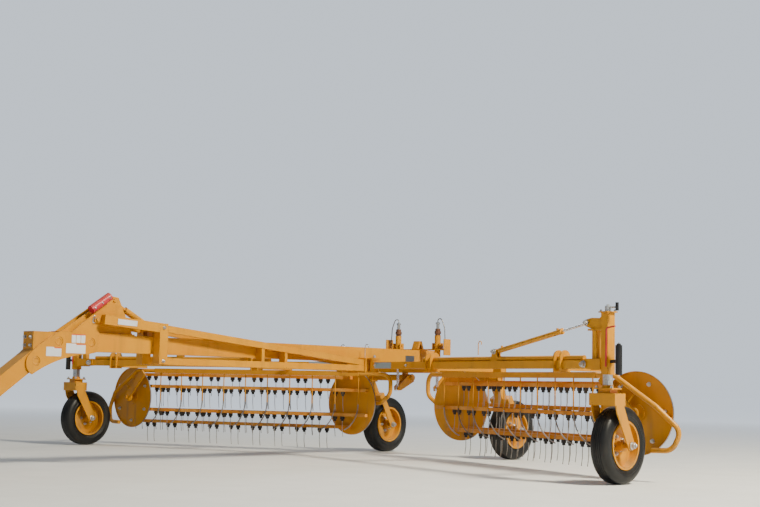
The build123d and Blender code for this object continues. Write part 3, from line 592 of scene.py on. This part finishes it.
def tyre_piece(end, side):
    """A tyre round its hub, in place of the plain one."""
    name = "{}_tyre_{}".format(end, side)
    low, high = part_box(name)
    hub = (low + high) / 2
    half = tyre_outline()
    outline = [(-offset, radius) for offset, radius in reversed(half)] + half[1:]
    steps = [(0, after[0] - before[0], after[1] - before[1]) for before, after in zip(outline, outline[1:])]
    piece = chain(hub + Vector((0, outline[0][0], outline[0][1])), steps)
    bpy.ops.mesh.select_all(action="SELECT")
    bpy.ops.mesh.spin(steps=TYRE_STEPS, angle=math.tau, center=hub, axis=(0, 1, 0))
    close(piece, 30)
    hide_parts(name)
    return finished("ribbed_" + name, [piece], FINISHES["tyre_rubber"],
                    "{}_wheel_{}".format(end, side))


tyres = [tyre_piece(end, side) for end, side in WHEELS]
print("tyres:", len(tyres), "faces each:", len(tyres[0].data.polygons))

# %% [markdown]
# ## Nuts and bolt heads
#
# A plated nut on a washer shows at every joint of the real machine. It is a six-sided cylinder whose top is
# drawn in to a chamfer, with the bolt's end raised from it and a washer under it. The size is that of a 16
# mm bolt, and other sizes are scaled from it. A round cap is made in the same way.

# %% A nut on its washer
NUT_R = 0.0139
NUT_H = 0.013
NUT_STEPS = ((0.0018, 0.0014), (0.0038, 0))
BOLT_OUT = 0.006  # how far the bolt's end stands out of the nut
BOLT_STEPS = ((0.0012, 0.0012),)
WASHER_R = 0.017
WASHER_H = 0.003
WASHER_STEPS = ((0.0012, 0.0006),)
NUT_TURN = 0.37  # no nut stands at the same angle as the one before


def nut_model():
    """A nut with its bolt's end and its washer, along +Z."""
    piece = upright(6, NUT_R, NUT_H, foot=WASHER_H)
    stepped(NUT_STEPS)
    raised(BOLT_OUT)
    stepped(BOLT_STEPS)
    close(piece, 20)
    washer = upright(20, WASHER_R, WASHER_H)
    stepped(WASHER_STEPS)
    close(washer, 40)
    return joined("nut", [piece, washer])


def nuts(name, body, places):
    """One piece of nuts: each place has a point, an axis and a size."""
    pieces = [copied(nut, point, axis, size, index * NUT_TURN)
              for index, (point, axis, size) in enumerate(places)]
    return finished(name, pieces, zinc, body)


nut = nut_model()
print("nut faces:", len(nut.data.polygons))

# %% A round cap
CAP_R = 0.030
CAP_H = 0.020
CAP_STEPS = ((0.004, 0.004), (0.010, 0.002), (0.010, 0.001))
STEM_OUT = 0.010
STEM_STEPS = ((0.002, 0.003),)


def cap_model():
    """A round cap with a short stem, along +Z."""
    piece = upright(32, CAP_R, CAP_H)
    stepped(CAP_STEPS)
    raised(STEM_OUT)
    stepped(STEM_STEPS)
    return close(piece, 30)


cap = cap_model()
models = [nut, cap]
print("cap faces:", len(cap.data.polygons))

# %% [markdown]
# ## Nuts on the reels and wheels
#
# Each tooth bar turns on a pin through both discs, held there by a nut, and the nut turns with its bar.
# Each wheel has five studs round its hub, and its axle ends in a large nut on both sides of the fork. Their
# places are worked out from the frame's own pieces, so the nuts stay on their pins if a size changes.

# %% Reel nuts
NUT_BACK = 0.0145  # from the pin's end to the disc's face
PIN_NUT = 1.25  # times the nut's size
TIP_NEAR = 0.0005  # corners this near to the box's end are the pin's

for name in BAR_NAMES:
    # The pins stick out of both ends, so the box's ends in x are theirs
    low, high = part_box(name)
    points = [vertex.co for vertex in nodes[name].data.vertices]
    places = []
    for end_x, axis in ((high.x, 1), (low.x, -1)):
        tips = [point for point in points if abs(point.x - end_x) < TIP_NEAR]
        middle = sum(tips, Vector()) / len(tips)
        places.append((Vector((end_x - axis * NUT_BACK, middle.y, middle.z)), (axis, 0, 0), PIN_NUT))
    nuts(name.replace("tooth_bar", "pin_nuts"), name, places)
print("bars with nuts:", len(BAR_NAMES))

# %% Wheel studs
STUDS = 5
STUD_CIRCLE = 0.078
STUD_NUT = 1.1  # times the nut's size
RIM_FACE = -0.010  # dished middle's outer face, from the hub's middle
RIM_BACK = -0.018

for end, side in WHEELS:
    sign = SIDES[side]
    hub = hub_of(end, side)
    places = []
    for number in range(STUDS):
        turn_by = math.tau * number / STUDS
        arm = Vector((math.cos(turn_by), 0, math.sin(turn_by))) * STUD_CIRCLE
        for face, way in ((RIM_FACE, sign), (RIM_BACK, -sign)):
            places.append((hub + arm + Vector((0, sign * face, 0)), (0, way, 0), STUD_NUT))
    nuts("studs_{}_{}".format(end, side), "{}_wheel_{}".format(end, side), places)
print("studs:", STUDS * len(WHEELS))

# %% Axle ends
FORKS = {"front": ("caster_fork_", "caster_"), "rear": ("rear_leg_", "rear_leg_")}  # node and body
BLADE_R = 0.05  # the fork's faces this near to the hub carry the axle
BLADE_OUT = 0.004  # how far the axle's end stands past its blade
AXLE_NUT = 2.0  # times the nut's size

for end, side in WHEELS:
    fork, body = FORKS[end]
    hub = hub_of(end, side)
    near_hub = [point.co.y for point in nodes[fork + side].data.vertices
                if math.hypot(point.co.x - hub.x, point.co.z - hub.z) < BLADE_R]
    places = [(Vector((hub.x, max(near_hub) - BLADE_OUT, hub.z)), (0, 1, 0), AXLE_NUT),
              (Vector((hub.x, min(near_hub) + BLADE_OUT, hub.z)), (0, -1, 0), AXLE_NUT)]
    nuts("axle_nuts_{}_{}".format(end, side), body + side, places)
print("axle nuts:", 2 * len(WHEELS))

# %% [markdown]
# ## Thin plates and bent rods
#
# Two more shapes repeat. A plate is a thin box whose corners are rounded and whose faces stand out a little
# from its edge. A rod or pipe starts as a chain of edges with rounded corners, which then gets its round
# section. It could be swept by hand, but a curve's own bevel does that evenly round every bend.

# %% Plates and pipes
PLATE_T = 0.0016
PLATE_CORNER = 0.005
PLATE_EDGE = 0.0015  # the width of a plate's low edge
PLATE_RISE = 0.0006
CORNER_STEPS = 4
BEND_STEPS = 5


def slab(at, along, width, height, thick=PLATE_T, corner=PLATE_CORNER):
    """An upright plate by its middle, the direction of its width, and its sizes."""
    bpy.ops.mesh.primitive_cube_add(size=1, location=(0, 0, 0))
    bpy.context.object.scale = (width, thick, height)
    piece = settled()
    shape = edit(piece)
    bpy.ops.mesh.select_mode(type="EDGE")
    # Only the four edges through the plate's thickness are rounded
    for edge in shape.edges:
        first, second = (vertex.co for vertex in edge.verts)
        edge.select_set(abs(first.y - second.y) > thick * 0.9)
    bpy.ops.mesh.bevel(offset=corner, segments=CORNER_STEPS, affect="EDGES")
    bpy.ops.mesh.select_mode(type="FACE")
    bpy.ops.mesh.select_all(action="DESELECT")
    pick(bmesh.from_edit_mesh(piece.data), lambda normal: abs(normal.y) > FACING)
    bpy.ops.mesh.inset(thickness=min(PLATE_EDGE, thick * 0.4), depth=min(PLATE_RISE, thick * 0.3),
                       use_individual=True)
    close(piece, 35)
    along = Vector(along).normalized()
    upward = Vector((0, 0, 1))
    upward = (upward - along * upward.dot(along)).normalized()
    across = upward.cross(along)
    turn_to = Matrix((along, across, upward)).transposed().to_4x4()
    piece.data.transform(Matrix.Translation(at) @ turn_to)
    return piece


def pipe(points, radius, bend=0.0, sides=3):
    """A rod through its points, with its corners bent."""
    piece = chain(points[0], [after - before for before, after in zip(points, points[1:])])
    shape = bmesh.from_edit_mesh(piece.data)
    for vertex in shape.verts:
        vertex.select_set(len(vertex.link_edges) == 2)
    if len(points) > 2:
        bpy.ops.mesh.bevel(offset=bend, segments=BEND_STEPS, affect="VERTICES")
    bpy.ops.object.mode_set(mode="OBJECT")
    bpy.ops.object.convert(target="CURVE")
    piece = bpy.context.object
    piece.data.bevel_depth = radius
    piece.data.bevel_resolution = sides
    piece.data.use_fill_caps = True
    bpy.ops.object.convert(target="MESH")
    edit(piece)
    return close(piece, 40)


# %% [markdown]
# ## Blank plates
#
# Signs and lettered plates sit on both cheeks, on the stays, on the backbone and on the arms of the real
# machine. Here they stay blank. Each cheek has three white plates, in one or three panels, with an orange
# strip along the top. A white, a grey and a blue one sit farther back. They could be drawn in a material,
# but thin slabs suit them, since their edges catch the light.

# %% Plates on the cheeks
CHEEK_Y = 0.096
STRIP_H = 0.011
STRIP_CORNER = 0.002
STRIP_SHORT = 0.004
PANEL_GAP = 0.006
# Each plate: its front and rear x, its top and foot, its panels, and where its coloured strip starts
CHEEK_PLATES = [(3.075, 2.922, 1.245, 1.164, 3, 0.0), (3.132, 2.915, 1.156, 1.067, 1, 0.5),
                (3.343, 3.176, 1.117, 1.034, 1, 0.5)]

for side, sign in SIDES.items():
    white = []
    strips = []
    for front_x, rear_x, top_z, foot_z, panels, strip_from in CHEEK_PLATES:
        width = front_x - rear_x
        panel = width / panels
        level = (top_z + foot_z) / 2
        for number in range(panels):
            x = front_x - panel * (number + 0.5)
            at = place(x, sign * (CHEEK_Y + PLATE_T / 2), level)
            white.append(slab(at, (1, 0, 0), panel - PANEL_GAP, top_z - foot_z))
        strip = width * (1 - strip_from)
        at = place(rear_x + strip / 2, sign * (CHEEK_Y + PLATE_T), top_z - STRIP_H / 2)
        strips.append(slab(at, (1, 0, 0), strip - STRIP_SHORT, STRIP_H, corner=STRIP_CORNER))
    finished("blank_plates_" + side, white, plate_white, "main_frame")
    finished("plate_strips_" + side, strips, plate_orange, "main_frame")
print("plates on the cheeks:", len(SIDES) * len(CHEEK_PLATES))

# %% Plates on the stays, the backbone and the arms
STAY_Y = 0.182
STAY_PLATE = (2.513, 1.372)  # x and height over the ground
STAY_RISE = 0.045  # how far the stay climbs to the front, in each metre
STAY_SIZE = (0.226, 0.052)
BACKBONE_Y = 0.080
BACKBONE_PLATE = (-1.659, 1.145)
BACKBONE_SIZE = (0.160, 0.078)
ARM_FRONT = -0.0385  # the arm's front face, across the arm
ARM_Z = 1.050
ARM_PLATE_S = 0.235
ARM_SIZE = (0.340, 0.066)

for side, sign in SIDES.items():
    at = place(STAY_PLATE[0], sign * (STAY_Y + PLATE_T / 2), STAY_PLATE[1])
    plate = slab(at, (1, 0, STAY_RISE), *STAY_SIZE)
    finished("stay_plate_" + side, [plate], plate_white, "main_frame")
    at = place(BACKBONE_PLATE[0], sign * (BACKBONE_Y + PLATE_T / 2), BACKBONE_PLATE[1])
    plate = slab(at, (1, 0, 0), *BACKBONE_SIZE)
    finished("backbone_plate_" + side, [plate], plate_grey, "main_frame")
    at = on_arm(sign, ARM_PLATE_S, ARM_FRONT - PLATE_T / 2, ARM_Z)
    plate = slab(at, turned(sign, ARM_ALONG), *ARM_SIZE)
    finished("arm_plate_" + side, [plate], plate_blue, "wing_" + side)
print("plates on the stays, the backbone and the arms:", 3 * len(SIDES))

# %% [markdown]
# ## Bosses in the cheeks
#
# Each cheek has three round holes with a turned boss in them: at the backbone's front end, behind it and at
# the tongue. A boss is a short cylinder whose face steps in and down to a shallow middle. It fills its hole
# a little below the cheek's face, so the hole still reads as one.

# %% Cheek bosses
BOSS_R = 0.0405
BOSS_H = 0.008
BOSS_STEPS = ((0.003, 0.001), (0.008, 0.001), (0.005, -0.004), (0.010, -0.001))
BOSS_IN = 0.013  # from the cheek's face to the boss's foot
BOSS_AT = ((3.207, 1.172), (2.854, 1.173), (3.440, 0.986))  # x and height over the ground


def boss_model():
    """A round plug with a hollow middle, along +Z."""
    piece = upright(40, BOSS_R, BOSS_H)
    stepped(BOSS_STEPS)
    return close(piece, 30)


boss = boss_model()
models.append(boss)
for side, sign in SIDES.items():
    pieces = [copied(boss, place(x, sign * (CHEEK_Y - BOSS_IN), z), (0, sign, 0)) for x, z in BOSS_AT]
    finished("cheek_bosses_" + side, pieces, yellow, "main_frame")
print("bosses:", len(SIDES) * len(BOSS_AT))

# %% [markdown]
# ## Bolts of the frame and the wings
#
# Bolts hold the backbone's front end, the stays, the wing pivots, the cylinder's lugs, the masts, the
# turning plates over the wheels and the motors. Each row of a list is a nut with its place, the direction
# it faces and its size, so a bolt that is found later in the photograph is one more row.

# %% Bolts of the frame
PIN_PLATE = (2.833, 1.391)  # x and height over the ground
PIN_PLATE_LEAN = 0.2
PIN_PLATE_SIZE = (0.034, 0.076)
PIN_PLATE_T = 0.004
PIN_PLATE_CORNER = 0.015
PIN_PLATE_NUT = 0.006  # the nut's height over the plate's middle
NUT_SINK = 0.0005  # how far a nut is set into its plate
FRONT_X = 3.469  # just inside the backbone's front end
FRONT_Y = 0.045
STAY_POST_X = 2.075
PIVOT_TOP = 1.1395

for side, sign in SIDES.items():
    out = (0, sign, 0)
    at = place(PIN_PLATE[0], sign * (CHEEK_Y + PIN_PLATE_T / 2), PIN_PLATE[1])
    plate = slab(at, (1, 0, PIN_PLATE_LEAN), *PIN_PLATE_SIZE, PIN_PLATE_T, PIN_PLATE_CORNER)
    finished("pin_plate_" + side, [plate], zinc, "main_frame")
    pin_y = sign * (CHEEK_Y + PIN_PLATE_T - NUT_SINK)
    places = [
        (place(PIN_PLATE[0], pin_y, PIN_PLATE[1] + PIN_PLATE_NUT), out, 0.95),
        (place(FRONT_X, sign * FRONT_Y, 1.203), (1, 0, 0), 1.0),
        (place(FRONT_X, sign * FRONT_Y, 1.128), (1, 0, 0), 1.0),
        (place(STAY_POST_X, sign * STAY_Y, 1.022), out, 1.0),
        (place(STAY_POST_X, sign * STAY_Y, 1.345), out, 1.0),
        (place(PIVOT.x, sign * PIVOT.y, PIVOT_TOP), (0, 0, 1), 1.2),
    ]
    nuts("frame_bolts_" + side, "main_frame", places)
print("frame bolts on each side:", len(places))

# %% Bolts of the arms and masts
LUG_S, LUG_T, LUG_Z = 2.260, 0.0295, 1.180  # the pin at the foot of the mast's cylinder
MAST_PIN = (3.627, 0.0635, 1.050)
MAST_EYE = (3.627, 0.0335, 1.422)
SLEEVE_S = 3.8766
SLEEVE_HALF = 0.043
SLEEVE_TOP = 1.5145

for side, sign in SIDES.items():
    across = turned(sign, ARM_ACROSS)
    nuts("arm_bolts_" + side, "wing_" + side, [
        (on_arm(sign, 0.090, ARM_FRONT - PLATE_T, ARM_Z), -across, 1.0),
        (on_arm(sign, 0.710, ARM_FRONT, ARM_Z), -across, 0.9),
        (on_arm(sign, LUG_S, -LUG_T, LUG_Z), -across, 1.6),
        (on_arm(sign, LUG_S, LUG_T, LUG_Z), across, 1.6),
    ])
    places = []
    for way in (-1, 1):
        for (s, t, z), size in ((MAST_PIN, 1.9), (MAST_EYE, 1.5)):
            places.append((on_arm(sign, s, way * t, z), across * way, size))
        for step in (-SLEEVE_HALF, SLEEVE_HALF):
            point = on_arm(sign, SLEEVE_S + step, way * SLEEVE_HALF, SLEEVE_TOP)
            places.append((point, (0, 0, 1), 0.8))
    nuts("mast_bolts_" + side, "mast_" + side, places)
print("mast bolts on each side:", len(places))

# %% Bolts of the turning plates and motors
CROWN_TOP = 0.8425
CROWN_X = 0.062
CROWN_Y = 0.078
MOTOR_AT = (-1.8095, 0.856, 0.615)
MOTOR_HALF = 0.043


def four(half_x, half_y):
    """The corners of a bolt pattern, round its middle."""
    return [(x, y) for x in (-half_x, half_x) for y in (-half_y, half_y)]


for side, sign in SIDES.items():
    crown = [(place(KING.x + x, sign * (KING.y + y), CROWN_TOP), (0, 0, 1), 0.95)
             for x, y in four(CROWN_X, CROWN_Y)]
    nuts("crown_bolts_" + side, "caster_" + side, crown)
    motor = [(place(MOTOR_AT[0], sign * (MOTOR_AT[1] + y), MOTOR_AT[2] + z), (-1, 0, 0), 0.8)
             for y, z in four(MOTOR_HALF, MOTOR_HALF)]
    nuts("motor_bolts_" + side, "wing_" + side, motor)
print("bolts of a turning plate and of a motor:", len(crown), len(motor))

# %% [markdown]
# ## Rods, knobs and screws
#
# A red rod stands in front of each mast and bends outwards at its top, and a knob closes the canister
# beside it. On the left, three screws hold the document tube. Nothing new is needed for them: the rod is a
# bent pipe, the knob is the cap model made smaller, and the screws are small nuts.

# %% Depth rods, canister knobs and tube screws
ROD_R = 0.0075
ROD_T = -0.0425 - ROD_R  # in front of the mast's sleeve
ROD_BEND = 0.022
ROD_ROUTE = ((3.905, 1.027), (3.913, 1.368), (4.022, 1.380))  # along the arm, and height
CANISTER_S = 4.017
KNOB_SINK = 0.001
KNOB_SIZE = 0.62  # times the cap's size
TUBE_FRONT = Vector((2.874, 0.0, 1.477))
TUBE_REAR = Vector((2.667, 0.0, 1.615))
TUBE_Y = 0.1355
TUBE_SCREWS = (0.12, 0.5, 0.88)  # shares of the tube's length
SCREW_SIZE = 0.55  # times the nut's size

for side, sign in SIDES.items():
    rod = pipe([on_arm(sign, s, ROD_T, z) for s, z in ROD_ROUTE], ROD_R, ROD_BEND)
    finished("depth_rod_" + side, [rod], red, "mast_" + side)
    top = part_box("mast_canister_" + side)[1].z - GROUND
    knob = copied(cap, on_arm(sign, CANISTER_S, 0, top - KNOB_SINK), (0, 0, 1), KNOB_SIZE)
    finished("canister_knob_" + side, [knob], black, "mast_" + side)
places = []
for portion in TUBE_SCREWS:
    point = TUBE_FRONT.lerp(TUBE_REAR, portion)
    places.append((place(point.x, TUBE_Y, point.z), (0, 1, 0), SCREW_SIZE))
nuts("tube_screws", "main_frame", places)
print("depth rods:", len(SIDES), "tube screws:", len(places))

# %% [markdown]
# ## Fittings of the rear cylinders
#
# On the head of each rear cylinder stands a plated fitting. A short steel pipe leaves it, bends over to the
# tower's plate and goes down to it. The pipe's route is a list of given corners in one upright plane,
# which the bevel rounds.

# %% Rear cylinder fittings
HEAD = Vector((-1.890, 0.310, 1.565))
HEAD_SINK = 0.001
HEAD_SIZE = 0.85  # times the cap's size
PIPE_R = 0.006
PIPE_BEND = 0.030
# From the head up, over to the tower's plate and down to it: y and height
HEAD_ROUTE = ((0.310, 1.585), (0.310, 1.630), (0.365, 1.630),
              (0.415, 1.520), (0.425, 1.350), (0.452, 1.345))

for side, sign in SIDES.items():
    head = copied(cap, place(HEAD.x, sign * HEAD.y, HEAD.z - HEAD_SINK), (0, 0, 1), HEAD_SIZE)
    tube = pipe([place(HEAD.x, sign * y, z) for y, z in HEAD_ROUTE], PIPE_R, PIPE_BEND)
    finished("head_fitting_" + side, [head], zinc, "rear_barrel_" + side)
    finished("head_pipe_" + side, [tube], steel, "rear_barrel_" + side)
print("rear fittings with pipes:", len(SIDES))

# %% [markdown]
# ## Hose guides and valve stems
#
# A guide is a bent wire that holds hoses in their place. One stands on each side of the backbone and one on
# each arm. A valve stem is a thin black rod that comes out through the rim. Both are short pipes.

# %% Hose guides and valve stems
GUIDE_R = 0.0045
GUIDE_BEND = 0.010
GUIDE_X = -0.800
# Both routes go up from the tube, bend over and end in the air: y or the place along the arm, and height
GUIDE_ROUTE = ((0.160, 1.120), (0.160, 1.262), (0.180, 1.288), (0.212, 1.280), (0.212, 1.250))
ARM_GUIDE_ROUTE = ((1.960, 1.150), (1.960, 1.262), (1.980, 1.290), (2.012, 1.282), (2.012, 1.252))
VALVE_R = 0.0040
VALVE_AT = 0.178  # the stem's distance from the hub's middle
VALVE_ROOT = -0.016  # from the hub's middle to its outer side
VALVE_RUN = (0.034, -0.006)  # how far out it stands, and how far it leans to the hub

for side, sign in SIDES.items():
    guide = pipe([place(GUIDE_X, sign * y, z) for y, z in GUIDE_ROUTE], GUIDE_R, GUIDE_BEND)
    finished("hose_guide_" + side, [guide], zinc, "main_frame")
    guide = pipe([on_arm(sign, s, 0, z) for s, z in ARM_GUIDE_ROUTE], GUIDE_R, GUIDE_BEND)
    finished("arm_hose_guide_" + side, [guide], yellow, "wing_" + side)
    for end in ("front", "rear"):
        root = hub_of(end, side) + Vector((0, sign * VALVE_ROOT, VALVE_AT))
        stem = pipe([root, root + Vector((0, sign * VALVE_RUN[0], VALVE_RUN[1]))], VALVE_R, sides=2)
        finished("valve_{}_{}".format(end, side), [stem], black,
                 "{}_wheel_{}".format(end, side))
print("hose guides:", 2 * len(SIDES), "valve stems:", len(WHEELS))

# %% [markdown]
# ## Weld beads
#
# The real frame is welded from tubes and plates, and a bead runs along each seam that shows. A thin rod
# sunk halfway into the seam reads as one. It needs no bump, and its edge catches the light as paint over a
# bead does.

# %% Weld beads
WELD_R = 0.0038
FRAME_WELD_X = (2.0245, 2.1255, 2.775)  # both edges of the stay's post, and the cheek's rear edge
FRAME_WELD_Y = 0.081
FRAME_WELD_Z = (1.093, 1.251)
ARM_WELD_S = (1.100, 1.200, 3.200, 3.300)  # both edges of each hanger
ARM_WELD_Z = (1.013, 1.087)
MAST_WELD_Z = 1.5035


def weld(name, body, runs):
    """Beads along straight runs."""
    beads = [pipe([first, last], WELD_R, sides=2) for first, last in runs]
    return finished(name, beads, yellow, body)


for side, sign in SIDES.items():
    runs = [[place(x, sign * FRAME_WELD_Y, z) for z in FRAME_WELD_Z] for x in FRAME_WELD_X]
    weld("frame_welds_" + side, "main_frame", runs)
    runs = [[on_arm(sign, s, ARM_FRONT, z) for z in ARM_WELD_Z] for s in ARM_WELD_S]
    weld("arm_welds_" + side, "wing_" + side, runs)
    corners = []
    for along_by, across_by in ((-1, -1), (1, -1), (1, 1), (-1, 1), (-1, -1)):
        corners.append(on_arm(sign, SLEEVE_S + along_by * SLEEVE_HALF, across_by * SLEEVE_HALF, MAST_WELD_Z))
    weld("mast_welds_" + side, "mast_" + side, zip(corners, corners[1:]))
print("beads on each side:", len(FRAME_WELD_X) + len(ARM_WELD_S) + len(corners) - 1)

# %% [markdown]
# ## Floor
#
# A pale floor shows the shapes plainly and carries their shadows. Far out it would turn dark, since no lamp
# reaches it, so it glows there in the backdrop's colour and the two meet without a line. The backdrop looks
# brighter to the camera than it lights the rake, which keeps the shadows deep.

# %% Stage
FLOOR_SIZE = 400.0
FLOOR_DROP = 0.001
FLOOR_COLOURS = ((0.74, 0.74, 0.73), (0.78, 0.78, 0.77))
FAR_FROM = 8  # the glow starts here, in metres from the hitch pin
FAR_TO = 30
FAR_COLOUR = (0.63, 0.70, 0.79)
SKY_COLOUR = (0.80, 0.89, 1.0, 1)
SKY_LIGHT = 0.28  # how strongly the backdrop lights the rake
SKY_SEEN = 1.0  # how bright it looks itself

bpy.ops.mesh.primitive_plane_add(size=FLOOR_SIZE, location=place(0, 0, -FLOOR_DROP))
floor = settled()
floor.name = "floor"
pale, tree, shader, mask = start("pale_floor")
tree.links.new(mixed(tree, mask["Broad"], *FLOOR_COLOURS), shader.inputs["Base Color"])
shader.inputs["Roughness"].default_value = 0.75
where = add(tree, "TexCoord").outputs["Object"]
from_middle = add(tree, "VectorMath", {0: where}, operation="LENGTH").outputs["Value"]
far = span(tree, from_middle, FAR_FROM, FAR_TO)
tree.links.new(mixed(tree, far, (0, 0, 0), FAR_COLOUR), shader.inputs["Emission Color"])
shader.inputs["Emission Strength"].default_value = 1.0
floor.data.materials.append(pale)

world = bpy.data.worlds.new("studio")
world.use_nodes = True
sky = world.node_tree.nodes["Background"]
sky.inputs["Color"].default_value = SKY_COLOUR
straight = add(world.node_tree, "LightPath").outputs["Is Camera Ray"]
strength = span(world.node_tree, straight, 0, 1, SKY_LIGHT, SKY_SEEN)
world.node_tree.links.new(strength, sky.inputs["Strength"])
bpy.context.scene.world = world
print("floor:", FLOOR_SIZE, "m")

# %% [markdown]
# ## Light
#
# In the photograph the sun stood high on the machine's left. A sun lamp would give hard shadows, so a wide
# warm disc of light stands there instead. A weak one ahead of the rake lifts the dark sides, and a third
# behind it draws its upper edges.


# %% Lights
def soft_light(name, at, aim, size, power, colour):
    """A round area light that is aimed at a point."""
    lamp = bpy.data.lights.new(name, "AREA")
    lamp.shape = "DISK"
    lamp.size = size
    lamp.energy = power
    lamp.color = colour
    light = bpy.data.objects.new(name, lamp)
    light.matrix_world = Matrix.Translation(at) @ (aim - at).to_track_quat("-Z", "Y").to_matrix().to_4x4()
    bpy.context.scene.collection.objects.link(light)
    return light


MIDDLE = place(0.5, 0.5, 0.8)
soft_light("main", place(-1.0, 11.5, 10.5), MIDDLE, size=2.5, power=3900, colour=(1.0, 0.93, 0.74))
soft_light("front", place(14.0, 2.0, 6.0), MIDDLE, size=6.0, power=110, colour=(0.94, 0.97, 1.0))
soft_light("rim", place(-9.0, -7.0, 9.0), MIDDLE, size=5.0, power=300, colour=(1.0, 0.98, 0.94))
print("lights:", len(bpy.data.lights))

# %% [markdown]
# ## Finish
#
# The nut, the cap and the boss at the origin were only copied from, so they go.

# %% Finish
for model in models:
    bpy.data.objects.remove(model)
